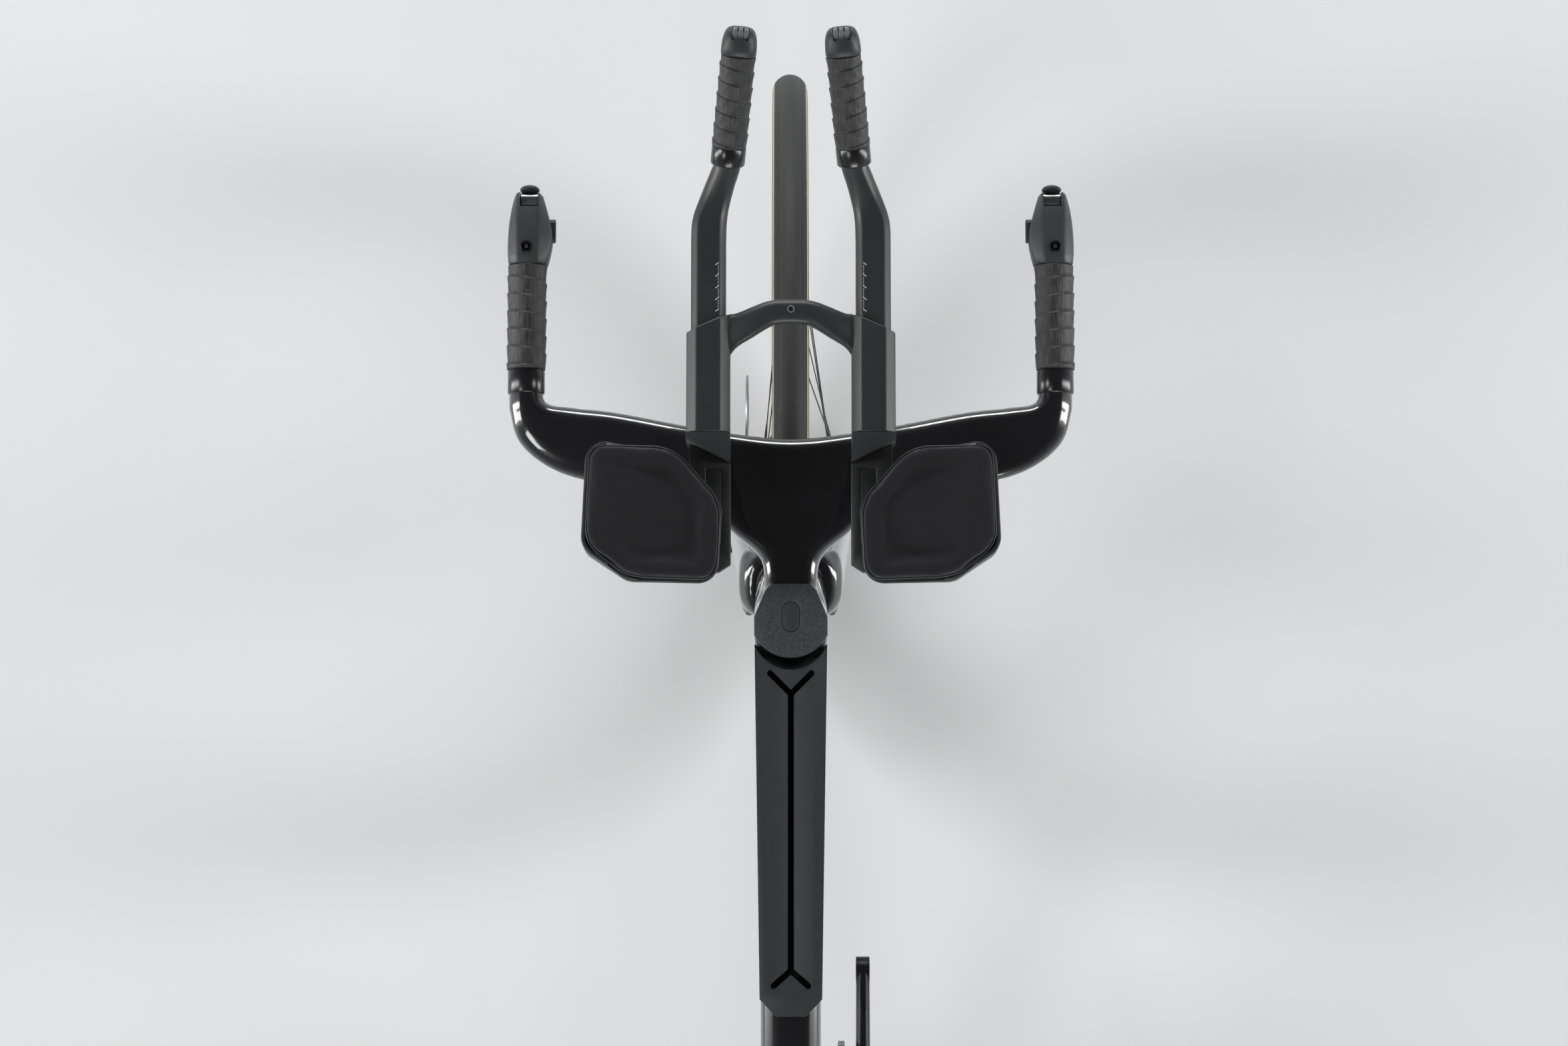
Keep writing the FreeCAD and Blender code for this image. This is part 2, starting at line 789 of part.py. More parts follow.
def make_cage(cage_angle):
    guide = guide_centre()
    tension = guide + turned(cage_angle, cage_length)
    along = turned(cage_angle, 1)
    across = along.cross(Y_AXIS)
    plates = []
    for side in (LEFT, RIGHT):
        y = chain_y + side * cage_gap
        wide = cage_wide / 2
        outline = [guide + across * wide, guide - along * wide, guide - across * wide]
        outline += [tension - across * wide, tension + along * wide, tension + across * wide]
        outline.insert(3, guide + along * (cage_length / 2) - across * (wide * 0.6))
        outline.append(guide + along * (cage_length / 2) + across * (wide * 0.6))
        plates.append(prism([p + Y_AXIS * y for p in outline], Y_AXIS * side * cage_thick))
    reach = cage_gap + cage_thick
    pins = [cylinder(p + Y_AXIS * (chain_y - reach), Y_AXIS, pulley_pin, 2 * reach) for p in (guide, tension)]
    boss = cylinder(guide + Y_AXIS * (chain_y - cage_gap), -Y_AXIS, cage_pivot_radius, cage_thick + 7)
    return fuse(plates + pins + [boss])


def make_pulley(centre, pins):
    at = V(centre.x, chain_y, centre.z)
    wheel = make_sprocket(at, pulley_teeth, tooth_phase(pins, centre, pulley_teeth), pulley_thick, pulley_pin + run_fit)
    reach = cage_gap - 0.2
    hub = bar(at - Y_AXIS * reach, Y_AXIS, pulley_pin + 3, 2 * reach)
    return fuse([wheel, hub]).cut(cylinder(at - Y_AXIS * reach, Y_AXIS, pulley_pin + run_fit, 2 * reach))


# main frame: head tube, top, down and seat tubes round the bottom bracket
def head_top():
    return crown_height + steer_gap + 2 + head_length


def head_base():
    return crown_height + steer_gap + 2


def top_tube_line(x):
    rear = bottom_bracket.x - (seat_tube_top - bottom_bracket.z) / math.tan(seat_tilt)
    front = on_steerer(head_top()).x
    return seat_tube_top + (top_tube_front - seat_tube_top) * (x - rear) / (front - rear)


def make_main_frame():
    shift = steer_ahead * (head_nose - head_depth / 2)
    head = []
    for height in (head_base(), (head_base() + head_top()) / 2, head_top()):
        head.append(section(on_steerer(height) + shift, steer_ahead, Y_AXIS, head_depth, head_width, 2.3, 0.08))
    foot = bottom_bracket + V(8, 0, 8)
    run = (foot - down_tube_top).normalize()
    upper = V(run.z, 0, -run.x)
    down = []
    for share, wide in ((-0.06, 1.0), (0.3, 1.0), (0.7, 1.05), (1.0, 1.1)):
        at = down_tube_top + (foot - down_tube_top) * share
        down.append(section(at, upper, Y_AXIS, down_tube_depth, down_tube_width * wide, 2.5))
    top = []
    rear_x = bottom_bracket.x - (seat_tube_top - bottom_bracket.z) / math.tan(seat_tilt)
    for x in (on_steerer(head_top()).x - 24, 150, 0, rear_x + 4):
        at = V(x, 0, top_tube_line(x) - top_tube_depth / 2)
        top.append(section(at, Z_AXIS, Y_AXIS, top_tube_depth, top_tube_width, 3.0))
    seat = []
    rise = (seat_tube_top - bottom_bracket.z) / math.sin(seat_tilt)
    for share, depth in ((0.0, 0.8), (0.25, 0.92), (0.6, 1.0), (1.0, 1.0)):
        at = bottom_bracket + seat_up * (rise * share)
        seat.append(section(at, seat_ahead, Y_AXIS, seat_tube_depth * depth, seat_tube_width, 2.4, 0.1))
    half = bb_shell_width / 2
    shell = cylinder(bottom_bracket - Y_AXIS * half, Y_AXIS, bb_shell_radius, 2 * half)
    # the tubes are cut to meet each other, as mitred tubes are
    post = loft(seat).fuse(shell).removeSplitter()
    stem = loft(head)
    strut = max(loft(down).cut(post).cut(stem).Solids, key=lambda solid: solid.Volume)
    beam = max(loft(top).cut(post).cut(stem).cut(strut).Solids, key=lambda solid: solid.Volume)
    cuts = [cylinder(on_steerer(head_base() - 30), steer_up, head_bore, head_length + 60)]
    cuts.append(cylinder(on_steerer(head_base() - 1), steer_up, lower_bearing_radius + run_fit, bearing_height + 1))
    cuts.append(cylinder(on_steerer(head_top() - bearing_height), steer_up, upper_bearing_radius + run_fit, bearing_height + 1))
    cuts.append(cylinder(on_steerer(head_top()), steer_up, stem_clear, 80))
    cuts.append(cylinder(on_steerer(head_base() - 80), steer_up, crown_sweep, 80))
    cuts.append(cylinder(bottom_bracket - Y_AXIS * half, Y_AXIS, spindle_radius + 3, 2 * half))
    for side in (LEFT, RIGHT):
        start = bottom_bracket + Y_AXIS * side * (half - bb_bearing_width)
        cuts.append(cylinder(start, Y_AXIS * side, bb_bearing_radius + run_fit, bb_bearing_width + 1))
    cuts.append(post_solid(post_fit, post_insert + post_drop + 2, 20))
    for hole in bottle_bosses():
        cuts.append(cylinder(hole - upper * boss_depth, upper, boss_radius, boss_depth + 2))
    tubes = []
    for tube_solid in (stem, post, strut, beam):
        for tool in cuts:
            if tool.BoundBox.intersect(tube_solid.BoundBox):
                tube_solid = tube_solid.cut(tool)
        tubes += tube_solid.Solids
    return Part.makeCompound(tubes)


# mouths of the bottle threads, on the upper face of the down tube
def bottle_bosses():
    foot = bottom_bracket + V(8, 0, 8)
    run = (foot - down_tube_top).normalize()
    upper = V(run.z, 0, -run.x)
    middle = down_tube_top + (foot - down_tube_top) * 0.55 + upper * (down_tube_depth / 2)
    return [middle - run * (boss_spacing / 2), middle + run * (boss_spacing / 2)]


# the seat post, with room all round it when it is the tool for its socket
def post_solid(room, depth, height):
    rise = (seat_tube_top - bottom_bracket.z) / math.sin(seat_tilt)
    wires = []
    for along in (rise - depth, rise + height):
        at = bottom_bracket + seat_up * along
        wires.append(section(at, seat_ahead, Y_AXIS, post_depth + 2 * room, post_width + 2 * room, 2.3))
    return loft(wires)


def make_headset():
    low = tube(on_steerer(head_base()), steer_up, lower_bearing_radius, steerer_radius + run_fit, bearing_height)
    high = tube(on_steerer(head_top() - bearing_height), steer_up, upper_bearing_radius,
                steerer_radius + run_fit, bearing_height)
    return [low, high]


# rear triangle: stays that spread from the frame to the dropouts
def make_stay(side, frame):
    outer = rear_spacing / 2 + dropout_thick / 2
    chain_stay = []
    span = bottom_bracket.x - rear_axle.x
    thin = dropout_thick - 1.5
    stations = ((0.02, 27, 1.25, stay_width), (0.25, 29, 1.15, stay_width))
    for share, y, scale, wide in stations + ((0.72, outer - 9, 1.0, stay_width - 2), (1.0, outer, 0.7, thin)):
        at = V(bottom_bracket.x - span * share, side * y, bottom_bracket.z + bb_drop * share)
        chain_stay.append(section(at, Z_AXIS, Y_AXIS, stay_depth * scale, wide))
    seat_stay = []
    start = bottom_bracket + seat_up * ((seat_stay_height - bottom_bracket.z) / math.sin(seat_tilt))
    down = (rear_axle - start).normalize()
    flat = V(-down.z, 0, down.x)
    stations = ((0.0, 12, 1.2, stay_width), (0.2, 25, 1.0, stay_width - 1))
    for share, y, scale, wide in stations + ((0.8, outer - 6, 0.85, stay_width - 3), (1.0, outer, 0.65, thin)):
        at = start + (rear_axle - start) * share + Y_AXIS * side * y
        seat_stay.append(section(at, flat, Y_AXIS, stay_depth * scale, wide))
    eye = rear_axle + Y_AXIS * side * (rear_spacing / 2)
    stay = loft(chain_stay).multiFuse([loft(seat_stay), cylinder(eye, Y_AXIS * side, 17, dropout_thick)])
    room = rear_spacing / 2
    stay = stay.cut(frame).cut(cylinder(rear_axle - Y_AXIS * room, Y_AXIS, 40, 2 * room))
    stay = stay.cut(cylinder(rear_axle - Y_AXIS * 120, Y_AXIS, axle_radius + run_fit, 240))
    return max(stay.Solids, key=lambda solid: solid.Volume)


def make_rear_stays(frame):
    return Part.makeCompound([make_stay(side, frame) for side in (LEFT, RIGHT)])


def make_hanger(stays):
    tip = hanger_point()
    inner = tip + Y_AXIS * dropout_thick
    corners = [V(10, 0, -10), V(-16, 0, -8), V(-hanger_back - 9, 0, -hanger_drop), V(-hanger_back, 0, -hanger_drop - 9)]
    corners.append(V(-hanger_back + 9, 0, -hanger_drop))
    base = rear_axle + Y_AXIS * inner.y
    plate = prism([base + c for c in corners], -Y_AXIS * dropout_thick)
    bolt = cylinder(inner, -Y_AXIS, hanger_bolt, dropout_thick)
    return plate.cut(stays).cut(bolt)


def make_axle(axle, spacing, wall):
    half = spacing / 2 + wall
    shaft = cylinder(axle - Y_AXIS * half, Y_AXIS, axle_radius, 2 * half)
    head = cylinder(axle + Y_AXIS * (half + seat_gap), Y_AXIS, axle_radius + 3, 4)
    stub = cylinder(axle + Y_AXIS * half, Y_AXIS, axle_radius, seat_gap)
    return fuse([shaft, stub, head])


# fork: bladed legs under a crown, with the steerer tube above
def make_fork():
    crown = []
    for height, deep, wide in ((crown_height - crown_drop, 0.8, 0.94), (crown_height - crown_drop / 2, 1.0, 1.0),
                               (crown_height, 0.95, 0.8)):
        at = on_steerer(height) + steer_ahead * 7
        crown.append(section(at, steer_ahead, Y_AXIS, leg_chord_top * deep, crown_width * wide, 2.8))
    shapes = [loft(crown)]
    steerer_top = (cover_base - 1 - steerer_radius * math.cos(tilt) - steer_base.z) / math.sin(tilt)
    steerer_foot = crown_height - 10
    shapes.append(cylinder(on_steerer(steerer_foot), steer_up, steerer_radius, steerer_top - steerer_foot))
    top = on_steerer(crown_height - crown_drop * 0.6) + steer_ahead * 6
    run = (front_axle - top).normalize()
    chord = V(-run.z, 0, run.x)
    foot_y = front_spacing / 2 + leg_thick_foot / 2
    for side in (LEFT, RIGHT):
        leg = []
        for share in (0.0, 0.3, 0.7, 1.0):
            y = leg_spread_top + (foot_y - leg_spread_top) * share
            deep = leg_chord_top * 0.92 + (leg_chord_foot - leg_chord_top * 0.92) * share ** 0.8
            thick = leg_thick_top * 0.8 + (leg_thick_foot - leg_thick_top * 0.8) * share
            at = top + (front_axle - top) * share + Y_AXIS * side * y
            leg.append(section(at, chord, Y_AXIS, deep, thick, 2.2, 0.1))
        shapes.append(loft(leg))
        eye = front_axle + Y_AXIS * side * (front_spacing / 2)
        shapes.append(cylinder(eye, Y_AXIS * side, fork_eye, leg_thick_foot))
    fork = fuse(shapes)
    room = front_spacing / 2
    fork = fork.cut(cylinder(front_axle - Y_AXIS * room, Y_AXIS, fork_eye + 12, 2 * room))
    bore = cylinder(front_axle - Y_AXIS * 120, Y_AXIS, axle_radius + run_fit, 240)
    return fork.cut(bore)


# disc caliper: a block over the rotor's edge with its two pads in the slot
def make_caliper(axle, rotor_y, angle, foot_y, avoid):
    out, along = turned(angle, 1), turned(angle + math.pi / 2, 1)
    slot = rotor_thick / 2 + 0.7
    low, high = rotor_radius - rotor_track - 2, rotor_radius + 12
    outline = [out * low - along * 18, out * low + along * 18, out * (high - 5) + along * 20]
    outline += [out * high + along * 13, out * high - along * 13, out * (high - 5) - along * 20]
    width = 20.0
    base = axle + Y_AXIS * (rotor_y - width / 2)
    body = prism([base + p for p in outline], Y_AXIS * width)
    gap = [out * (low - 1) - along * 22, out * (low - 1) + along * 22]
    gap += [out * (rotor_radius + 2) + along * 22, out * (rotor_radius + 2) - along * 22]
    middle = axle + Y_AXIS * (rotor_y - slot)
    body = body.cut(prism([middle + p for p in gap], Y_AXIS * 2 * slot))
    reach = foot_y - rotor_y - width / 2
    foot = [out * (high - 12) - along * 16, out * (high - 12) + along * 16, out * high + along * 13, out * high - along * 13]
    arm = prism([axle + Y_AXIS * (rotor_y + width / 2) + p for p in foot], Y_AXIS * reach)
    body = body.fuse(arm).removeSplitter().cut(avoid)
    pads = []
    for side in (LEFT, RIGHT):
        face = rotor_y + side * (rotor_thick / 2 + 0.25)
        pad = [out * (low + 3) - along * 12, out * (low + 3) + along * 12]
        pad += [out * (rotor_radius - 1) + along * 12, out * (rotor_radius - 1) - along * 12]
        pads.append(prism([axle + Y_AXIS * face + p for p in pad], Y_AXIS * side * (slot - rotor_thick / 2 - 0.25)))
    return [body] + pads


# plan outline of the storage lid, with a set-in for the walls of the box
def lid_outline(inset=0.0):
    half_front, half_rear = lid_half_front - inset, lid_half_rear - inset
    front, rear, tail = lid_front, lid_rear + inset, lid_tail_half - inset / 2
    right = [(front, -half_front), (rear + lid_chamfer, -half_rear), (rear, -tail)]
    left = [(x, -y) for x, y in reversed(right)]
    return right + left


def lid_level(x):
    return lid_top_rear + (lid_top_front - lid_top_rear) * (x - lid_rear) / (lid_front - lid_rear)


def stem_room(extra=0.0):
    return cylinder(on_steerer(head_top() - 30), steer_up, stem_clear + extra, 120)


def make_storage_box(frame):
    wall = [V(x, y, 0) for x, y in lid_outline()]
    block_top = [p + Z_AXIS * (lid_level(p.x) - lid_thick) for p in wall]
    low = top_tube_line(lid_rear) - box_skirt
    deep = lid_top_front - low + 20
    outer = prism(block_top, Z_AXIS * -deep).common(block(-400, 400, -60, 60, low, 900))
    hollow = [V(x, y, lid_level(x)) for x, y in lid_outline(box_wall)]
    inner = prism(hollow, Z_AXIS * -deep)
    floor = [V(x, y, top_tube_line(x) + box_wall) for x, y in lid_outline()]
    inner = inner.cut(prism(floor, Z_AXIS * -80)).cut(stem_room(box_wall))
    return outer.cut(inner).cut(stem_room()).cut(frame)


# a straight slot with round ends, cut right through the lid
def slot_tool(start, end, width, top):
    along = (end - start).normalize()
    across = V(-along.y, along.x, 0) * (width / 2)
    corners = [start + across, end + across, end - across, start - across]
    bar = prism([V(p.x, p.y, top - 40) for p in corners], Z_AXIS * 60)
    ends = [cylinder(V(p.x, p.y, top - 40), Z_AXIS, width / 2, 60) for p in (start, end)]
    return bar.multiFuse(ends)


def make_storage_lid():
    outline = [V(x, y, lid_level(x) - lid_thick) for x, y in lid_outline()]
    lid = prism(outline, Z_AXIS * lid_thick).cut(stem_room())
    front, rear = V(slit_front, 0, 0), V(slit_rear, 0, 0)
    tools = [slot_tool(front, rear, slit_width, lid_top_front)]
    for side in (LEFT, RIGHT):
        for joint, run, out in ((front, slit_arm_front, slit_arm_front), (rear, -slit_arm_rear_run, slit_arm_rear)):
            tools.append(slot_tool(joint, joint + V(run, side * out, 0), slit_width, lid_top_front))
    for tool in tools:
        lid = lid.cut(tool)
    return lid


# a closed outline of lines whose corners are rounded by arcs
def rounded_outline(points, radius, level):
    count = len(points)
    edges = []
    previous_end = None
    first_start = None
    for k in range(count):
        before, corner, after = [V(p[0], p[1], level) for p in (points[k - 1], points[k], points[(k + 1) % count])]
        into, out = (corner - before).normalize(), (after - corner).normalize()
        turn = into.getAngle(out)
        setback = radius * math.tan(turn / 2)
        start, end = corner - into * setback, corner + out * setback
        bisector = (out - into).normalize()
        middle = corner + bisector * (radius / math.cos(turn / 2) - radius)
        if previous_end is not None:
            edges.append(Part.makeLine(previous_end, start))
        else:
            first_start = start
        edges.append(Part.Arc(start, middle, end).toShape())
        previous_end = end
    edges.append(Part.makeLine(previous_end, first_start))
    return Part.Wire(edges)


# the same outline in a set number of equal flats
def flats(outline, count):
    points = outline.discretize(Number=count + 1)[:-1]
    return Part.makePolygon(points + [points[0]])


# the eight-sided section of the aero tubes, in the plane of two directions
def octagon(centre, across, up, width, height, chamfer):
    w, h = width / 2, height / 2
    corners = [(w, h - chamfer), (w - chamfer, h), (chamfer - w, h), (-w, h - chamfer)]
    corners += [(-a, -b) for a, b in corners]
    points = [centre + across * a + up * b for a, b in corners]
    return Part.makePolygon(points + [points[0]])


# the wing of the base bar turns forward into a round horn at each end
def wing_section(x, y, turn_degrees, chord, thick, level):
    turn = math.radians(turn_degrees)
    along = V(math.cos(turn), -math.sin(turn), 0)
    fullness = 2.4 if turn_degrees < 80 else 2.0
    return section(V(x, y, level), along, Z_AXIS, chord, thick, fullness, 0.12 if turn_degrees < 60 else 0.0)


def make_wing():
    reach = horn_y / 200.0
    stations = ((0, 0, 0, 62, 0, 2), (4, 60, 0, 68, 0, 1), (22, 130, 2, 58, 0, 0), (30, 168, 14, 51, 0, 0))
    stations += ((41, 190, 40, 40, 2, 0), (54, 198, 70, 29, 2 * horn_radius - 1 - wing_thick, 0))
    sections = []
    for ahead, out, turn, chord, more, lift in stations:
        share = ahead * horn_bend / 65.0
        sections.append(wing_section(bar_x + share, out * reach, turn, chord, wing_thick + more, bar_level + lift))
    sections.append(wing_section(band_start, horn_y, 90, 2 * horn_radius, 2 * horn_radius, bar_level))
    wing = loft(sections)
    horn = loft([wing_section(x, horn_y, 90, 2 * horn_radius, 2 * horn_radius, bar_level) for x in (band_start, horn_end)])
    return fuse([wing, horn])


def cover_outline(level):
    slope_start, round_start = cover_front - 24.7, cover_rear + 17.0
    corner = 5.0
    left = [V(cover_front - corner, cover_front_half, level), V(slope_start, cover_half, level)]
    left.append(V(round_start, cover_half, level))
    right = [V(p.x, -p.y, level) for p in left]
    nose = [V(cover_front, cover_front_half - corner, level), V(cover_front, corner - cover_front_half, level)]
    edges = [Part.makeLine(nose[1], nose[0]), Part.makeLine(nose[0], left[0]), Part.makeLine(left[0], left[1])]
    edges.append(Part.makeLine(left[1], left[2]))
    edges.append(Part.Arc(left[2], V(cover_rear, 0, level), right[2]).toShape())
    edges += [Part.makeLine(right[2], right[1]), Part.makeLine(right[1], right[0]), Part.makeLine(right[0], nose[1])]
    return Part.Face(Part.Wire(edges))


def make_base_bar():
    left = make_wing()
    neck = []
    stations = [(0, 46, 30), (0.235, 40, 30), (0.409, 48, 27), (0.583, 92, 22), (0.783, 122, 19), (1, 116, 15)]
    neck_rear = cover_rear + 31.5
    for share, wide, high in stations:
        x = neck_rear + (bar_x + 10 - neck_rear) * share
        middle = cover_base - 0.5 - high / 2 - (x - neck_rear) * 0.03
        neck.append(section(V(x, 0, middle), Z_AXIS, Y_AXIS, high, wide, 3.0))
    stem = cover_outline(cover_base).extrude(steer_up * -60)
    keep = cylinder(on_steerer(head_top() + steer_gap), steer_up, 90, 90)
    stem = stem.common(keep)
    bar = fuse([left, mirrored(left), loft(neck), stem])
    roof = block(cover_rear - 14, cover_front + 1, -40, 40, cover_base, cover_base + 30)
    bore = cylinder(on_steerer(head_top() - 20), steer_up, steerer_radius + run_fit, 60)
    head_room = cylinder(on_steerer(head_top() + steer_gap - 40), steer_up, head_nose + 12, 40)
    return bar.cut(roof).cut(bore).cut(head_room)


def pill(x0, x1, width, level, high):
    a, b = V(x0 + width / 2, 0, level), V(x1 - width / 2, 0, level)
    bar = block(a.x, b.x, -width / 2, width / 2, level, level + high)
    return bar.multiFuse([cylinder(a, Z_AXIS, width / 2, high), cylinder(b, Z_AXIS, width / 2, high)]).removeSplitter()


def make_stem_cover():
    cover = cover_outline(cover_base).extrude(Z_AXIS * cover_thick)
    hole = pill(plug_rear - plug_fit, plug_front + plug_fit, plug_width + 2 * plug_fit, cover_base + 1, cover_thick)
    return cover.cut(hole)


def make_cover_plug():
    return pill(plug_rear, plug_front, plug_width, cover_base + 1, cover_thick - 1)


# extensions, modelled on the left; the right one is the mirror image
def grip_line():
    return (grip_front - grip_rear).normalize()


def make_extension():
    straight = []
    for x in (ext_rear, ext_bend):
        straight.append(octagon(V(x, ext_y, ext_level), Y_AXIS, Z_AXIS, ext_width, ext_height, ext_chamfer))
    line = grip_line()
    up = V(-line.z, 0, line.x).normalize()
    side = up.cross(line).normalize()
    bend = [straight[-1]]
    middle = V((ext_bend + grip_rear.x) / 2 + 1, (ext_y + grip_rear.y) / 2 + 1.2, ext_level + 4.5)
    lean = V(-0.2, 0, 0.98).normalize()
    bend.append(octagon(middle, V(0.12, 0.99, 0).normalize(), lean, ext_width, ext_height, ext_chamfer))
    bend.append(octagon(grip_rear, side, up, 2 * grip_core, 2 * grip_core, grip_core * 0.586))
    core = bar(grip_rear, line, grip_core * 0.92, (grip_front - grip_rear).Length, 16)
    return fuse([loft(straight), loft(bend), core])


def make_extension_grip():
    line = grip_line()
    length = (grip_front - grip_rear).Length
    bore = grip_core * 0.92 + run_fit
    hole = bar(grip_rear, line, bore, length, 16)
    band = bar(grip_rear, line, grip_radius - 0.6, grip_band, 16)
    sleeve = bar(grip_rear + line * grip_band, line, grip_radius, length - grip_band, 16)
    return [band.cut(hole), sleeve.cut(hole)]


def make_shifter():
    line = grip_line()
    up = V(-line.z, 0, line.x).normalize()
    side = up.cross(line).normalize()
    sections = []
    for share, size in ((0.0, 1.06), (0.35, 1.0), (0.8, 0.86), (1.0, 0.7)):
        at = grip_front + line * (pod_length * share)
        sections.append(octagon(at, side, up, 2 * pod_radius * size, 2 * pod_radius * size, pod_radius * size * 0.5))
    pod = loft(sections)
    deep = 6 + button_travel
    pocket = bar(grip_front + line * (pod_length - deep), line, pod_button + button_fit, deep + 5, 8)
    return pod.cut(pocket)


def make_shift_button():
    line = grip_line()
    foot = grip_front + line * (pod_length - 6)
    return bar(foot, line, pod_button, 6 + pod_button_proud, 8)


# sleeves that hold the extensions, joined by an arched bridge
def make_bridge():
    outer_w, outer_h = ext_width + 2 * sleeve_wall, ext_height + 2 * sleeve_wall
    shapes, bores = [], []
    top = ext_level + outer_h / 2
    for side in (LEFT, RIGHT):
        wires = []
        for x in (sleeve_rear, sleeve_front_inner):
            wires.append(octagon(V(x, side * ext_y, ext_level), Y_AXIS, Z_AXIS, outer_w, outer_h, ext_chamfer + 2))
        sleeve = loft(wires)
        edge = outer_w / 2 + 1
        corner = [V(sleeve_front_outer, side * (ext_y + edge), 700), V(sleeve_front_inner + 1, side * (ext_y - edge), 700)]
        corner.append(V(sleeve_front_inner + 40, side * (ext_y + edge), 700))
        shapes.append(sleeve.cut(prism(corner, Z_AXIS * 300)))
        wide, high = ext_width + 2 * ext_fit, ext_height + 2 * ext_fit
        ends = []
        for x in (sleeve_rear - 5, sleeve_front_inner + 5):
            ends.append(octagon(V(x, side * ext_y, ext_level), Y_AXIS, Z_AXIS, wide, high, ext_chamfer))
        bores.append(loft(ends))
    reach = ext_y - ext_width / 2 - 1
    front = [V(sleeve_front_inner, reach, 0), V(bridge_front - 3.7, 25, 0), V(bridge_front, 0, 0)]
    rear = [V(bridge_rear, 0, 0), V(bridge_rear - 3, 20, 0), V(bridge_rear - 17.3, reach, 0)]
    plan = rear[::-1] + [V(p.x, -p.y, 0) for p in rear[1:]]
    plan = [V(p.x, -p.y, 0) for p in front[::-1][1:]][::-1] + front[::-1] + plan
    arch = prism([p + Z_AXIS * (top - bridge_thick) for p in plan], Z_AXIS * bridge_thick)
    bridge = fuse(shapes + [arch])
    screw = cylinder(bridge_screw + Z_AXIS * (top - 5), Z_AXIS, 3.5, 10)
    return bridge.cut(Part.makeCompound(bores)).cut(screw)


# wedge clamps behind the sleeves, on risers that stand on the base bar
def make_clamp(base_bar):
    half = ext_width / 2 + sleeve_wall
    top = ext_level + ext_height / 2 + sleeve_wall
    low = ext_level - ext_height / 2 - sleeve_wall
    inner, outer = ext_y - half, ext_y + half
    plan = [V(sleeve_rear - seat_gap, inner, low), V(sleeve_rear - seat_gap, outer, low)]
    plan += [V(wedge_outer, outer, low), V(wedge_inner, inner, low)]
    wedge = prism(plan, Z_AXIS * (top - low))
    foot = V(riser_centre, ext_y, bar_level)
    wires = []
    for level, grow in ((bar_level, 1.1), (bar_level + 30, 0.95), (low + 1, 1.1)):
        at = V(foot.x, foot.y, level)
        wires.append(section(at, X_AXIS, Y_AXIS, riser_long * grow, riser_wide * grow, 2.6))
    riser = loft(wires)
    room = block(sleeve_rear - seat_gap, sleeve_rear + 80, inner - 5, outer + 5, low - seat_gap, top + 5)
    return fuse([wedge, riser.cut(room)]).cut(base_bar)


def make_pad_rail():
    half = rail_width / 2
    inner, outer = ext_y - 1.5 - half, ext_y - 1.5 + half
    low = rail_top - rail_thick
    slope = (wedge_outer - wedge_inner) / (ext_width + 2 * sleeve_wall)
    base_y = ext_y - ext_width / 2 - sleeve_wall

    def wedge_face(y):
        return wedge_inner + slope * (y - base_y) - seat_gap

    points = [(wedge_face(inner), inner), (wedge_face(outer), outer), (rail_rear + 6, outer), (rail_rear, outer - 9)]
    points += [(rail_rear, inner + 9), (rail_rear + 6, inner)]
    outline = [V(x, y, low) for x, y in points]
    rail = prism(outline, Z_AXIS * rail_thick)
    return rail.cut(insert_tool(0.0))


# the insert fills a shallow groove in the top of the rail
def insert_tool(fit):
    half = insert_width / 2 - fit
    level = rail_top - insert_depth
    end = V(insert_rear + insert_width / 2, insert_y, level)
    bar = block(end.x, wedge_inner - 4 - fit, insert_y - half, insert_y + half, level, rail_top)
    return bar.fuse(cylinder(end, Z_AXIS, half, insert_depth)).removeSplitter()


# plan of an arm rest moved out by a margin
def pad_plan(margin):
    outline = [(bar_x + x, ext_y + y) for x, y in pad_outline]
    centre_x = sum(p[0] for p in outline) / len(outline)
    centre_y = sum(p[1] for p in outline) / len(outline)
    moved = []
    for x, y in outline:
        far = math.hypot(x - centre_x, y - centre_y)
        grow = (far + margin * 1.25) / far
        moved.append((centre_x + (x - centre_x) * grow, centre_y + (y - centre_y) * grow))
    return moved


def make_pad_cup():
    base = rail_top + seat_gap
    room = cup_room + cup_wall
    shell = Part.Face(rounded_outline(pad_plan(room), pad_corner + room, base)).extrude(Z_AXIS * cup_height)
    hollow = Part.Face(rounded_outline(pad_plan(cup_room), pad_corner, base + cup_base))
    cup = shell.cut(hollow.extrude(Z_AXIS * (cup_height + 5)))
    rear, inner, low, rim = bar_x - 130, ext_y - 41, base + cup_base + 2, base + cup_height + 1
    low_side = [V(rear, inner, low), V(rear, ext_y + 51, low), V(rear, ext_y + 75, rim), V(rear, inner, rim)]
    return cup.cut(prism(low_side, X_AXIS * 200))


# the cushion: drawn in at its foot, full at the waist, crowned, with a hollow for the arm
def make_arm_pad():
    base = rail_top + seat_gap + cup_base + seat_gap
    wires = []
    for share, margin in ((0.0, -2.5), (0.3, 0.0), (0.7, -0.8), (0.92, -4.0), (1.0, -9.0)):
        wires.append(flats(rounded_outline(pad_plan(margin), pad_corner, base + pad_thick * share), 36))
    cushion = loft(wires)
    arm = cylinder(V(bar_x - 130, ext_y + 34, base + pad_thick + arm_radius - 11), X_AXIS, arm_radius, 200)
    return cushion.cut(arm)


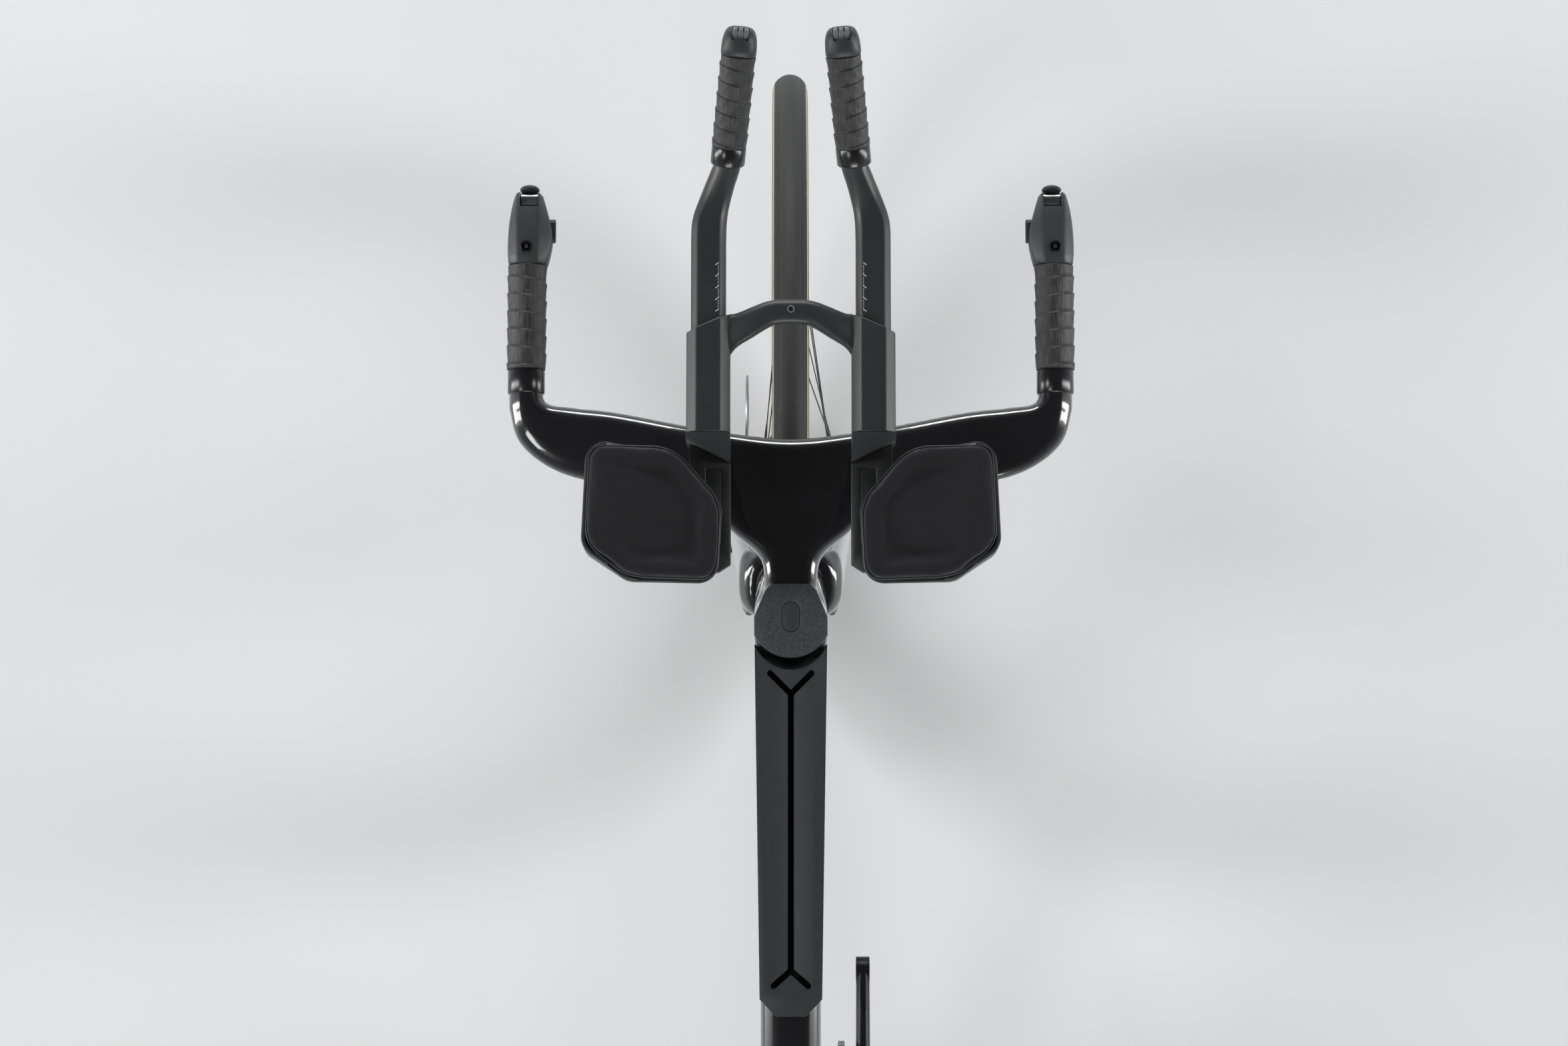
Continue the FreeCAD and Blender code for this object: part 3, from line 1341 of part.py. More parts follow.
# tape wound round each horn: every turn laps the one before, so each steps up
def make_bar_tape():
    def ring(x, radius):
        return section(V(x, horn_y, bar_level), Y_AXIS, Z_AXIS, 2 * radius, 2 * radius)

    hole = loft([ring(x, horn_radius + run_fit) for x in (band_start - 1, tape_end + 1)])
    band = loft([ring(x, band_radius) for x in (band_start, tape_start)])
    turn = (tape_end - tape_start) / tape_turns
    lap = turn * 0.2
    rings = []
    for k in range(tape_turns):
        rings.append(ring(tape_start + k * turn, tape_radius - 0.7))
        rings.append(ring(tape_start + k * turn + lap, tape_radius))
    rings.append(ring(tape_end, tape_radius - 0.4))
    return [band.cut(hole), loft(rings).cut(hole)]


def make_lever_body():
    sections = []
    for x, wide, high in ((lever_rear, 31, 31), (lever_rear + 12, 33, 32), (lever_front - 22, 27, 29), (lever_front, 21, 22)):
        at = V(x, lever_pivot.y + (horn_y - lever_pivot.y) * (lever_front - x) / (lever_front - lever_rear), bar_level - 1)
        sections.append(octagon(at, Y_AXIS, Z_AXIS, wide, high, wide * 0.26))
    body = loft(sections)
    plug = 2 * (horn_radius + run_fit)
    bore = loft([section(V(x, horn_y, bar_level), Y_AXIS, Z_AXIS, plug, plug) for x in (lever_rear - 1, horn_end + 0.2)])
    half = lever_barrel_wide / 2 + lever_room
    slot = block(lever_pivot.x - lever_barrel - 2, lever_front + 5, lever_pivot.y - half, lever_pivot.y + half, 700, 900)
    belly = block(lever_pivot.x - 32, lever_front + 5, lever_pivot.y - half, lever_pivot.y + half, 700, lever_pivot.z - 6)
    pin = cylinder(lever_pivot - Y_AXIS * 30, Y_AXIS, lever_pin + run_fit, 60)
    return body.cut(bore).cut(slot).cut(belly).cut(pin).cut(bar_button_tool(button_fit, button_travel + 1))


# the blade hangs from the pivot barrel and sweeps down and back under the grip
def make_brake_lever():
    half = lever_barrel_wide / 2
    barrel = cylinder(lever_pivot - Y_AXIS * half, Y_AXIS, lever_barrel, 2 * half)
    pin = cylinder(lever_pivot - Y_AXIS * (half + 4), Y_AXIS, lever_pin, 2 * half + 8)
    radius, sweep = 84.0, math.radians(74)
    hub = lever_pivot + V(2 - radius, -lever_thick / 2, -2)
    steps = 6
    outer, inner = [], []
    for k in range(steps + 1):
        share = k / steps
        wide = 5.0 + 2.5 * share
        outer.append(hub + turned(-sweep * share, radius + wide / 2))
        inner.append(hub + turned(-sweep * share, radius - wide / 2))
    blade = prism(outer + inner[::-1], Y_AXIS * lever_thick)
    return fuse([barrel, pin, blade])


# the thumb button on the inner flank, as a tool for its pocket or as itself
def bar_button_tool(fit, extra):
    long, high = bar_button_long + 2 * fit, bar_button_high + 2 * fit
    inner = bar_button_face + 9 + extra
    face = bar_button_face - (20 if extra else 0)
    middle = V(bar_button_x, face, bar_level - 1)
    wide, tall, nip = long / 2, high / 2, high * 0.3
    corners = [(wide - nip, tall), (nip - wide, tall), (-wide, tall - nip), (-wide, nip - tall)]
    corners += [(-a, -b) for a, b in corners]
    return prism([middle + V(a, 0, b) for a, b in corners], Y_AXIS * (inner - face))


# saddle: one body split into a thin shell below and padding above
def saddle_body():
    rear = saddle_nose - saddle_length
    base = saddle_top - padding - shell_thick
    wires = []
    stations = ((0.0, 0.22, 0.55), (0.08, 0.32, 0.85), (0.4, 0.42, 0.92), (0.72, 0.9, 0.98), (0.9, 1.0, 1.0), (1.0, 0.8, 0.6))
    for share, wide, high in stations:
        tall = 2 * (padding + 4) * high
        at = V(saddle_nose + (rear - saddle_nose) * share, 0, base + 4)
        wires.append(section(at, Z_AXIS, Y_AXIS, tall, saddle_width * wide, 2.6))
    return loft(wires)


def make_saddle():
    body = saddle_body()
    split = saddle_top - padding
    rear = saddle_nose - saddle_length
    pad = body.common(block(rear - 20, saddle_nose + 20, -100, 100, split, saddle_top + 20))
    groove = cylinder(V(rear + 40, 0, saddle_top + 4), X_AXIS, 10, saddle_length - 70)
    shell = body.common(block(rear - 20, saddle_nose + 20, -100, 100, split - shell_thick, split))
    return shell, pad.cut(groove)


def rail_level():
    return saddle_top - padding - shell_thick - 12


# two rails from the shell's nose to its rear, level where the clamp grips them
def make_saddle_rails():
    rails = []
    top = saddle_top - padding - shell_thick
    level = rail_level()
    front, rear = saddle_nose - 50, saddle_nose - saddle_length + 42
    for side in (LEFT, RIGHT):
        y = side * rail_spread
        points = [V(front, y * 0.7, top), V(front - 30, y, level), V(rear + 30, y, level), V(rear, y, top)]
        leans = [X_AXIS, V(0.38, 0, -0.92), V(-0.38, 0, -0.92), -X_AXIS]
        wide = 2 * rail_radius
        rails.append(loft([section(p, lean, Y_AXIS, wide, wide, 2.0, 0.0, 8) for p, lean in zip(points, leans)]))
    return rails


def post_top():
    return (rail_level() - 14 - seat_tube_top) / math.sin(seat_tilt)


def make_saddle_clamp(rails):
    rise = (seat_tube_top - bottom_bracket.z) / math.sin(seat_tilt) + post_top()
    at = bottom_bracket + seat_up * rise
    half = rail_spread + 8
    jaw = block(at.x - 20, at.x + 20, -half, half, rail_level() - 9, rail_level() + 6)
    neck = block(at.x - 14, at.x + 14, -9, 9, rail_level() - 22, rail_level() - 8)
    return fuse([jaw, neck]).cut(Part.makeCompound(rails)).cut(post_solid(0.0, post_insert, post_top()))


def build():
    cage_angle = solve_cage()
    pins, _ = walk_chain(chain_loop(cage_angle), chain_links)
    guide = guide_centre()
    tension = guide + turned(cage_angle, cage_length)
    front_rotor_y = front_spacing / 2 - rotor_inset
    rear_rotor_y = rear_spacing / 2 - rotor_inset
    nodes = {}
    for name, axle, count, flanges in (("front", front_axle, front_spokes, front_flanges),
                                       ("rear", rear_axle, rear_spokes, rear_flanges)):
        nodes[name + "_tyre"] = [make_tyre(axle)]
        nodes[name + "_rim"] = [make_rim(axle)]
        nodes[name + "_spokes"] = make_spokes(axle, count, *flanges)
    nodes["front_hub"] = [make_hub(front_axle, front_spacing, *front_flanges)]
    nodes["rear_hub"] = [make_hub(rear_axle, rear_spacing, *rear_flanges, freehub_radius)]
    nodes["front_rotor"] = [make_rotor(front_axle, front_rotor_y)]
    nodes["rear_rotor"] = [make_rotor(rear_axle, rear_rotor_y)]
    nodes["chain"] = make_chain(pins)
    nodes["cassette"] = [make_cassette(pins)]
    nodes["chainring"] = [make_chainring(pins)]
    nodes["crank_right"] = [make_crank_right()]
    nodes["crank_left"] = [make_crank_left()]
    nodes["derailleur_base"] = [make_derailleur_base()]
    nodes["derailleur_outer_link"] = [make_derailleur_link("outer")]
    nodes["derailleur_inner_link"] = [make_derailleur_link("inner")]
    nodes["derailleur_knuckle"] = [make_derailleur_knuckle()]
    nodes["derailleur_cage"] = [make_cage(cage_angle)]
    nodes["upper_pulley"] = [make_pulley(guide, pins)]
    nodes["lower_pulley"] = [make_pulley(tension, pins)]
    frame = make_main_frame()
    stays = make_rear_stays(frame)
    fork = make_fork()
    nodes["main_frame"] = [frame]
    nodes["rear_stays"] = [stays]
    nodes["derailleur_hanger"] = [make_hanger(stays)]
    nodes["frame_bearings"] = make_headset() + make_bb_bearings()
    nodes["fork"] = [fork]
    nodes["front_axle"] = [make_axle(front_axle, front_spacing, leg_thick_foot)]
    nodes["rear_axle"] = [make_axle(rear_axle, rear_spacing, dropout_thick)]
    nodes["front_caliper"] = make_caliper(front_axle, front_rotor_y, math.radians(142), 56.0, fork)
    nodes["rear_caliper"] = make_caliper(rear_axle, rear_rotor_y, math.radians(18), 72.0, stays)
    nodes["storage_box"] = [make_storage_box(frame)]
    nodes["storage_lid"] = [make_storage_lid()]
    base_bar = make_base_bar()
    nodes["base_bar"] = [base_bar]
    nodes["stem_cover"] = [make_stem_cover()]
    nodes["cover_plug"] = [make_cover_plug()]
    nodes["extension_bridge"] = [make_bridge()]
    pairs = {"extension_clamps": [make_clamp(base_bar)], "pad_rails": [make_pad_rail(), insert_tool(run_fit)]}
    pairs["pad_cups"] = [make_pad_cup()]
    pairs["arm_pads"] = [make_arm_pad()]
    pairs["bar_tape"] = make_bar_tape()
    pairs["lever_bodies"] = [make_lever_body()]
    for name, shapes in pairs.items():
        nodes[name] = shapes + [mirrored(s) for s in shapes]
    sided = {"extension": [make_extension()], "extension_grip": make_extension_grip(), "shifter": [make_shifter()]}
    sided["shift_button"] = [make_shift_button()]
    sided["brake_lever"] = [make_brake_lever()]
    sided["bar_button"] = [bar_button_tool(0.0, 0.0)]
    for name, shapes in sided.items():
        nodes[name + "_left"] = shapes
        nodes[name + "_right"] = [mirrored(s) for s in shapes]
    shell, pad = make_saddle()
    rails = make_saddle_rails()
    nodes["seatpost"] = [post_solid(0.0, post_insert, post_top())]
    nodes["saddle_shell"] = [shell]
    nodes["saddle_pad"] = [pad]
    nodes["saddle_rails"] = rails
    nodes["saddle_clamp"] = [make_saddle_clamp(rails)]
    return nodes


def main():
    os.makedirs("parts", exist_ok=True)
    for name, shapes in build().items():
        shape = shapes[0] if len(shapes) == 1 else Part.makeCompound(shapes)
        shape.exportStep("parts/" + name + ".step")
        print(name, len(shape.Solids), shape.isValid(), round(shape.Volume / 1000, 1))


main()
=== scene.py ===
import bpy
import bmesh
import json
import math
from mathutils import Matrix, Vector
from mathutils.bvhtree import BVHTree


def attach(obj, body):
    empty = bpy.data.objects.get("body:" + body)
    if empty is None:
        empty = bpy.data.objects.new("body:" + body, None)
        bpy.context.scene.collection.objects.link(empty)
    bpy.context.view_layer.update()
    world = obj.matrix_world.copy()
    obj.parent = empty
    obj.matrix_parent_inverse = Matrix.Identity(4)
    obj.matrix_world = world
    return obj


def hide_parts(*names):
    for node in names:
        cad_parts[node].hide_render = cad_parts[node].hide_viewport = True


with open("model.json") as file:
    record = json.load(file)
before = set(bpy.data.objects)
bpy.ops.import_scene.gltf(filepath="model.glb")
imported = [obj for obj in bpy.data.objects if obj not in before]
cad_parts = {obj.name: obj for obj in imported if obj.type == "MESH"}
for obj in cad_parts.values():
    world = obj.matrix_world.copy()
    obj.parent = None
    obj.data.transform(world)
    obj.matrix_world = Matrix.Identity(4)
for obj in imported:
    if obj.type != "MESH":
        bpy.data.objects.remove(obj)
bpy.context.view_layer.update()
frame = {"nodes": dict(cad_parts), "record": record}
scene = bpy.context.scene
scene.view_settings.view_transform = "Standard"
mm = 0.001
axisX, axisY, axisZ = Vector((1, 0, 0)), Vector((0, 1, 0)), Vector((0, 0, 1))

# axles in millimetres, and the directions of the steerer and the seat tube
frontAxle, rearAxle, crankAxle = Vector((506, 0, 339)), Vector((-506, 0, 339)), Vector((-96.3, 0, 267))
steerBase, steerUp = Vector((465.94, 0, 326.37)), Vector((-0.30071, 0, 0.95372))
steerAhead = Vector((0.95372, 0, 0.30071))
seatUp, seatAhead = Vector((-0.24192, 0, 0.97030)), Vector((0.97030, 0, 0.24192))
print("frame loaded:", len(frame["nodes"]), "nodes")


def placed(name, data):
    thing = bpy.data.objects.new(name, data)
    scene.collection.objects.link(thing)
    return thing


# camera above the bars, tipped a little forward; sizes in metres
cameraSet = {"height": 3.73188, "sideways": 0.0051, "tipDegrees": 7.6772, "lens": 90.70, "sensor": 36.0, "farEnd": 60}


def placeCamera(c):
    data = bpy.data.cameras.new("photoCamera")
    data.lens, data.sensor_width, data.clip_end = c["lens"], c["sensor"], c["farEnd"]
    tip = math.radians(c["tipDegrees"])
    right, up = Vector((0, -1, 0)), Vector((math.cos(tip), 0, math.sin(tip)))
    turn = Matrix((right, up, right.cross(up))).transposed().to_4x4()
    scene.camera = placed("photoCamera", data)
    scene.camera.matrix_world = Matrix.Translation((0, c["sideways"], c["height"])) @ turn


# the sky fades from low to high; past paleFrom the eye sees one even tone on the floor
studioSet = {"floorColour": (0.72, 0.725, 0.73), "floorSize": 160.0, "floorRough": 0.9, "floorShine": 0.1,
             "seen": (0.80, 0.81, 0.82), "low": 0.62, "high": 0.05, "lowRise": 0.05, "highRise": 0.75,
             "paleFrom": 1.5, "paleTo": 2.9}
softboxes = [  # place, aim, width, length, watts
    ((0.4, 3.8, 1.9), (0.4, 0, 0.8), 0.8, 4.4, 130),
    ((0.4, -3.8, 1.9), (0.4, 0, 0.8), 0.8, 4.4, 130),
    ((4.8, 0.3, 2.3), (0.4, 0, 0.8), 3.0, 0.7, 110),
    ((-4.6, -0.4, 2.6), (-0.2, 0, 0.6), 3.0, 0.9, 100),
    ((-1.4, 2.6, 4.6), (0.2, 0, 0.7), 1.2, 1.2, 40),
]


# socket values by name, with an underscore for each space
def filled(node, **values):
    for name, value in values.items():
        node.inputs[name.replace("_", " ")].default_value = (*value, 1) if isinstance(value, tuple) else value


def newNodes(tree, *kinds):
    return [tree.nodes.new("ShaderNode" + kind) for kind in kinds]


def wired(tree, *pairs):
    for start, end in pairs:
        tree.links.new(start, end)


def buildSky(s):
    scene.world = bpy.data.worlds.new("studioSky")
    scene.world.use_nodes = True
    tree = scene.world.node_tree
    background = tree.nodes["Background"]
    spot, parts, rise, path, level = newNodes(tree, "TexCoord", "SeparateXYZ", "MapRange", "LightPath", "Mix")
    filled(background, Color=s["seen"])
    filled(rise, From_Min=s["lowRise"], From_Max=s["highRise"], To_Min=s["low"], To_Max=s["high"])
    level.inputs[3].default_value = 1.0
    wired(tree, (spot.outputs["Generated"], parts.inputs[0]), (parts.outputs["Z"], rise.inputs["Value"]),
          (rise.outputs[0], level.inputs[2]), (path.outputs["Is Camera Ray"], level.inputs[0]),
          (level.outputs[0], background.inputs["Strength"]))


def buildSoftboxes(boxes):
    for index, (place, aim, wide, long, watts) in enumerate(boxes):
        light = bpy.data.lights.new(f"softbox{index}", "AREA")
        light.shape, light.size, light.size_y, light.energy = "RECTANGLE", wide, long, watts
        lamp = placed(light.name, light)
        lamp.location = place
        lamp.rotation_euler = (Vector(aim) - Vector(place)).to_track_quat("-Z", "Y").to_euler()


def buildFloor(s):
    half = s["floorSize"] / 2
    mesh = bpy.data.meshes.new("studioFloor")
    mesh.from_pydata([(-half, -half, 0), (half, -half, 0), (half, half, 0), (-half, half, 0)], [], [(0, 1, 2, 3)])
    floor = placed("studioFloor", mesh)
    paint = bpy.data.materials.new("paleFloor")
    paint.use_nodes = True
    tree = paint.node_tree
    shader = tree.nodes["Principled BSDF"]
    filled(shader, Base_Color=s["floorColour"], Roughness=s["floorRough"], Specular_IOR_Level=s["floorShine"])
    spot, reach, far, path, eye, amount, glow, blend = newNodes(
        tree, "TexCoord", "VectorMath", "MapRange", "LightPath", "Math", "Math", "Emission", "MixShader")
    reach.operation, far.interpolation_type = "LENGTH", "SMOOTHSTEP"
    eye.operation, amount.operation = "MAXIMUM", "MULTIPLY"
    filled(far, From_Min=s["paleFrom"], From_Max=s["paleTo"])
    filled(glow, Color=s["seen"])
    wired(tree, (spot.outputs["Object"], reach.inputs[0]), (reach.outputs["Value"], far.inputs["Value"]),
          (path.outputs["Is Camera Ray"], eye.inputs[0]), (path.outputs["Is Glossy Ray"], eye.inputs[1]),
          (far.outputs[0], amount.inputs[0]), (eye.outputs[0], amount.inputs[1]),
          (amount.outputs[0], blend.inputs[0]), (shader.outputs[0], blend.inputs[1]),
          (glow.outputs[0], blend.inputs[2]), (blend.outputs[0], tree.nodes["Material Output"].inputs["Surface"]))
    mesh.materials.append(paint)


placeCamera(cameraSet)
buildSky(studioSet)
buildSoftboxes(softboxes)
buildFloor(studioSet)
print("camera and studio placed")


# a shader socket that takes part in plain arithmetic
class Value:
    def __init__(self, tree, socket):
        self.tree, self.socket = tree, socket

    def maths(self, operation, *others, before=()):
        node = self.tree.nodes.new("ShaderNodeMath")
        node.operation = operation
        for index, item in enumerate((*before, self, *others)):
            if isinstance(item, Value):
                self.tree.links.new(item.socket, node.inputs[index])
            else:
                node.inputs[index].default_value = item
        return Value(self.tree, node.outputs[0])

    def __add__(self, other): return self.maths("ADD", other)
    def __sub__(self, other): return self.maths("SUBTRACT", other)
    def __rsub__(self, other): return self.maths("SUBTRACT", before=(other,))
    def __mul__(self, other): return self.maths("MULTIPLY", other)
    def __pow__(self, other): return self.maths("POWER", other)
    def __gt__(self, other): return self.maths("GREATER_THAN", other)
    def __lt__(self, other): return self.maths("LESS_THAN", other)
    def __abs__(self): return self.maths("ABSOLUTE")


# one material: a principled shader and whatever nodes feed it
class Finish:
    def __init__(self, name, **settings):
        self.material = bpy.data.materials.new(name)
        self.material.use_nodes = True
        self.tree = self.material.node_tree
        self.shader = self.tree.nodes["Principled BSDF"]
        filled(self.shader, **settings)

    def node(self, kind, settings=None, sockets=None, out=0):
        node = self.tree.nodes.new("ShaderNode" + kind)
        for key, value in (settings or {}).items():
            if key == "stops":
                ramp = node.color_ramp
                while len(ramp.elements) < len(value):
                    ramp.elements.new(0.5)
                for element, (place, colour) in zip(ramp.elements, value):
                    element.position, element.color = place, (*colour, 1)
            else:
                setattr(node, key, value)
        for key, value in (sockets or {}).items():
            if isinstance(value, Value):
                self.tree.links.new(value.socket, node.inputs[key])
            else:
                node.inputs[key].default_value = value
        return Value(self.tree, node.outputs[out])

    def place(self, scale=(1, 1, 1)):
        return self.node("Mapping", {}, {"Vector": self.node("TexCoord", out=3), "Scale": scale})

    def noise(self, scale, detail=3.0, spread=(1, 1, 1)):
        return self.node("TexNoise", {}, {"Vector": self.place(spread), "Scale": scale, "Detail": detail})

    def cells(self, scale, feature="F1"):
        return self.node("TexVoronoi", {"feature": feature}, {"Vector": self.place(), "Scale": scale})

    def parts(self, spot=None):
        apart = self.node("SeparateXYZ", {}, {"Vector": spot or self.place()})
        return [Value(self.tree, out) for out in apart.socket.node.outputs]

    def mix(self, factor, dark, light):
        sockets = {0: factor, 6: dark if isinstance(dark, Value) else (*dark, 1)}
        sockets[7] = light if isinstance(light, Value) else (*light, 1)
        return self.node("Mix", {"data_type": "RGBA"}, sockets, 2)

    def feed(self, socket, value):
        self.tree.links.new(value.socket, self.shader.inputs[socket])

    def bump(self, height, strength, distance):
        lift = self.node("Bump", {}, {"Height": height, "Strength": strength, "Distance": distance})
        self.feed("Normal", lift)


# two tones in clouds and a fine relief, each given as a pattern's kind and settings; the tone or the relief
# moves the roughness by a spread above its base
def makeMottled(name, dark, light, tone, relief, rough, bump, roughBy="tone", **settings):
    f = Finish(name, **settings)
    patterns = {key: getattr(f, kind)(*given) for key, (kind, *given) in (("tone", tone), ("relief", relief))}
    f.feed("Base Color", f.mix(patterns["tone"], dark, light))
    spread, base = rough
    f.feed("Roughness", patterns[roughBy] * spread + base)
    f.bump(patterns["relief"], *bump)
    return f.material


def makeMetal(name, dark, light, rough, metal=1.0):
    return makeMottled(name, dark, light, ("noise", 60.0, 5.0), ("noise", 1800.0, 2.0), (0.14, rough - 0.06),
                       (0.06, 0.0002), Metallic=metal)


def makeMoulded(name, dark, light, rough):
    return makeMottled(name, dark, light, ("noise", 45.0, 3.0), ("cells", 1500.0), (0.12, rough - 0.05),
                       (0.18, 0.00015), Specular_IOR_Level=0.5)


# tread, sidewall and a thin cream line where the tread meets the casing; sizes in metres
tyreLook = {"lineRadius": 0.3294, "lineHalf": 0.0010, "treadHalf": 0.0088, "ribs": 5200.0}


# distance from the nearer axle, and place across the wheel
def wheelPlace(f):
    x, y, z = f.parts()
    ahead, high = abs(x) - frontAxle.x * mm, z - frontAxle.z * mm
    return (ahead * ahead + high * high) ** 0.5, y


def makeTyreRubber(t):
    f = Finish("tyreRubber", Specular_IOR_Level=0.35)
    radius, y = wheelPlace(f)
    line = abs(radius - t["lineRadius"]) < t["lineHalf"]
    ribs = (radius * t["ribs"]).maths("SINE") * 0.5 + 0.5
    dust = f.noise(240.0, 5.0)
    tread = abs(y) < t["treadHalf"]
    rubber = f.mix(dust, (0.013, 0.013, 0.014), (0.030, 0.030, 0.031))
    worn = f.mix(tread, rubber, f.mix(dust, (0.024, 0.024, 0.025), (0.046, 0.046, 0.047)))
    f.feed("Base Color", f.mix(line, worn, f.mix(dust, (0.42, 0.35, 0.20), (0.60, 0.53, 0.36))))
    f.feed("Roughness", dust * 0.18 + 0.52)
    side = 1 - tread
    f.bump(ribs * side * 0.35 + f.noise(1500.0) * 0.6, 0.16, 0.0003)
    return f.material


def makeBrushedDisc():
    f = Finish("brushedDiscSteel", Metallic=1.0)
    radius = wheelPlace(f)[0]
    rings = f.node("TexNoise", {"noise_dimensions": "1D"}, {"W": radius * 2600.0, "Scale": 1.0, "Detail": 4.0})
    smear = f.noise(30.0, 4.0)
    f.feed("Base Color", f.mix(rings, (0.19, 0.19, 0.195), (0.38, 0.38, 0.387)))
    f.feed("Roughness", smear * 0.2 + rings * 0.12 + 0.18)
    return f.material


# embossed tape: short staggered dashes along the bar, worn in patches
def makeTape():
    f = Finish("gripTape", Specular_IOR_Level=0.5)
    spot = f.node("Attribute", {"attribute_name": "tapePlace"}, out=1)
    run, across, up = f.parts(spot)
    around = across.maths("ARCTAN2", up)
    flat = f.node("CombineXYZ", {}, {"X": run * 100.0, "Y": around * 1.5, "Z": 0.0})
    drawn = f.node("CombineXYZ", {}, {"X": run * 60.0, "Y": around * 16.0, "Z": 0.0})
    streak = f.node("TexNoise", {}, {"Vector": drawn, "Scale": 1.0, "Detail": 3.0})
    dashes = f.node("TexBrick", {"offset": 0.4}, {"Vector": flat, "Scale": 1.0, "Mortar Size": 0.045,
                                                  "Mortar Smooth": 0.3, "Brick Width": 0.9, "Row Height": 0.26}, 1)
    worn, fine = f.noise(120.0, 4.0), f.noise(1500.0, 3.0)
    kept = worn > 0.46
    pale = f.node("ValToRGB", {"stops": [(0.46, (0, 0, 0)), (0.72, (1, 1, 1))]}, {"Fac": streak * 0.7 + worn * 0.3})
    f.feed("Base Color", f.mix(pale, (0.014, 0.014, 0.015), (0.07, 0.07, 0.073)))
    f.feed("Roughness", fine * 0.2 + worn * 0.12 + 0.34)
    f.bump(dashes * kept * -1.0 + fine * 0.3 + streak * 0.9 + worn * 0.5, 0.55, 0.0007)
    return f.material


def makeSpeckled():
    f = Finish("speckledCover", Specular_IOR_Level=0.4)
    grain = f.noise(2400.0, 2.0)
    fleck = f.node("ValToRGB", {"stops": [(0.56, (0, 0, 0)), (0.70, (1, 1, 1))]}, {"Fac": grain})
    f.feed("Base Color", f.mix(fleck, (0.026, 0.027, 0.029), (0.15, 0.152, 0.155)))
    f.feed("Roughness", grain * 0.2 + 0.46)
    f.bump(grain, 0.22, 0.0002)
    return f.material


def makePadFabric():
    f = Finish("nappedFabric", Roughness=0.92, Specular_IOR_Level=0.12, Sheen_Weight=0.35, Sheen_Roughness=0.4,
               Sheen_Tint=(0.6, 0.6, 0.63))
    nap = f.noise(1500.0, 4.0)
    patch = f.noise(28.0, 4.0)
    thread = f.cells(1100.0)
    f.feed("Base Color", f.mix(nap * 0.7 + patch * 0.3, (0.006, 0.006, 0.0065), (0.026, 0.026, 0.028)))
    f.bump(nap * 0.6 + thread * 0.6, 0.5, 0.0006)
    return f.material


look = {
    "gloss_carbon": makeMottled("glossBlackLacquer", (0.0075, 0.0075, 0.0085), (0.013, 0.013, 0.0145),
                                ("noise", 9.0, 4.0), ("noise", 160.0, 2.0), (0.10, 0.13), (0.04, 0.0004),
                                Coat_Weight=1.0, Coat_Roughness=0.035, Coat_IOR=1.55),
    "satin_carbon": makeMottled("satinGreyLacquer", (0.016, 0.0165, 0.0175), (0.023, 0.0235, 0.025),
                                ("noise", 35.0, 4.0), ("noise", 2600.0, 2.0), (0.10, 0.36), (0.10, 0.00012), "relief",
                                Specular_IOR_Level=0.6),
    "rim_carbon": makeMottled("rimLaminate", (0.012, 0.012, 0.013), (0.030, 0.030, 0.032),
                              ("noise", 3.0, 5.0, (60, 8, 60)), ("noise", 900.0), (0.16, 0.27), (0.05, 0.0002),
                              Coat_Weight=0.25, Coat_Roughness=0.22),
    "tyre": makeTyreRubber(tyreLook),
    "spoke_steel": makeMetal("blackSpokeSteel", (0.02, 0.02, 0.022), (0.05, 0.05, 0.054), 0.34, 0.9),
    "disc_steel": makeBrushedDisc(),
    "chain_steel": makeMetal("oiledChainSteel", (0.13, 0.13, 0.134), (0.30, 0.297, 0.293), 0.34),
    "black_alloy": makeMetal("blackAnodised", (0.014, 0.014, 0.016), (0.034, 0.034, 0.037), 0.36, 0.85),
    "grey_alloy": makeMetal("greyAnodised", (0.09, 0.09, 0.097), (0.17, 0.17, 0.178), 0.36, 0.95),
    "tape_rubber": makeTape(),
    "lid_rubber": makeMottled("softLidRubber", (0.024, 0.025, 0.027), (0.034, 0.035, 0.037), ("noise", 90.0, 5.0),
                              ("noise", 2400.0, 3.0), (0.18, 0.42), (0.14, 0.0004), "relief",
                              Specular_IOR_Level=0.35),
    "speckled_plastic": makeSpeckled(),
    "black_plastic": makeMoulded("mouldedBlack", (0.016, 0.017, 0.018), (0.028, 0.029, 0.031), 0.45),
    # black plastic made lighter than its own tone to stand for the highlight on the lever tops: painted highlight
    "lever_plastic": makeMoulded("leverPlastic", (0.03, 0.031, 0.032), (0.044, 0.045, 0.047), 0.42),
    "button_grey": makeMoulded("mouldedGrey", (0.105, 0.108, 0.111), (0.145, 0.148, 0.151), 0.4),
    "pad_fabric": makePadFabric(),
    "saddle_cover": makeMottled("saddleSkin", (0.012, 0.012, 0.013), (0.026, 0.026, 0.028), ("noise", 22.0, 4.0),
                                ("cells", 900.0, "SMOOTH_F1"), (0.15, 0.42), (0.35, 0.0004), Specular_IOR_Level=0.4),
    "bright_steel": makeMetal("brightPinSteel", (0.42, 0.42, 0.43), (0.62, 0.62, 0.63), 0.24),
    "band_gloss": makeMoulded("glossBand", (0.008, 0.008, 0.009), (0.014, 0.014, 0.015), 0.2),
    "pale_print": makeMoulded("palePrint", (0.55, 0.55, 0.54), (0.68, 0.68, 0.67), 0.6),
}
print("finishes made:", len(look))
slotOf = {s["node"]: s["material_slot"] for s in frame["record"]["subparts"]}
for nodeName, node in frame["nodes"].items():
    node.data.materials.clear()
    node.data.materials.append(look[slotOf[nodeName]])
bodyOf = {n: b for b, members in frame["record"]["behaviour"]["bodies"].items() for n in members}


# edges sharper than so many degrees stay crisp; points closer than the weld, in metres, become one
crispEdge, softEdge, weld = 38, 60, 1e-6


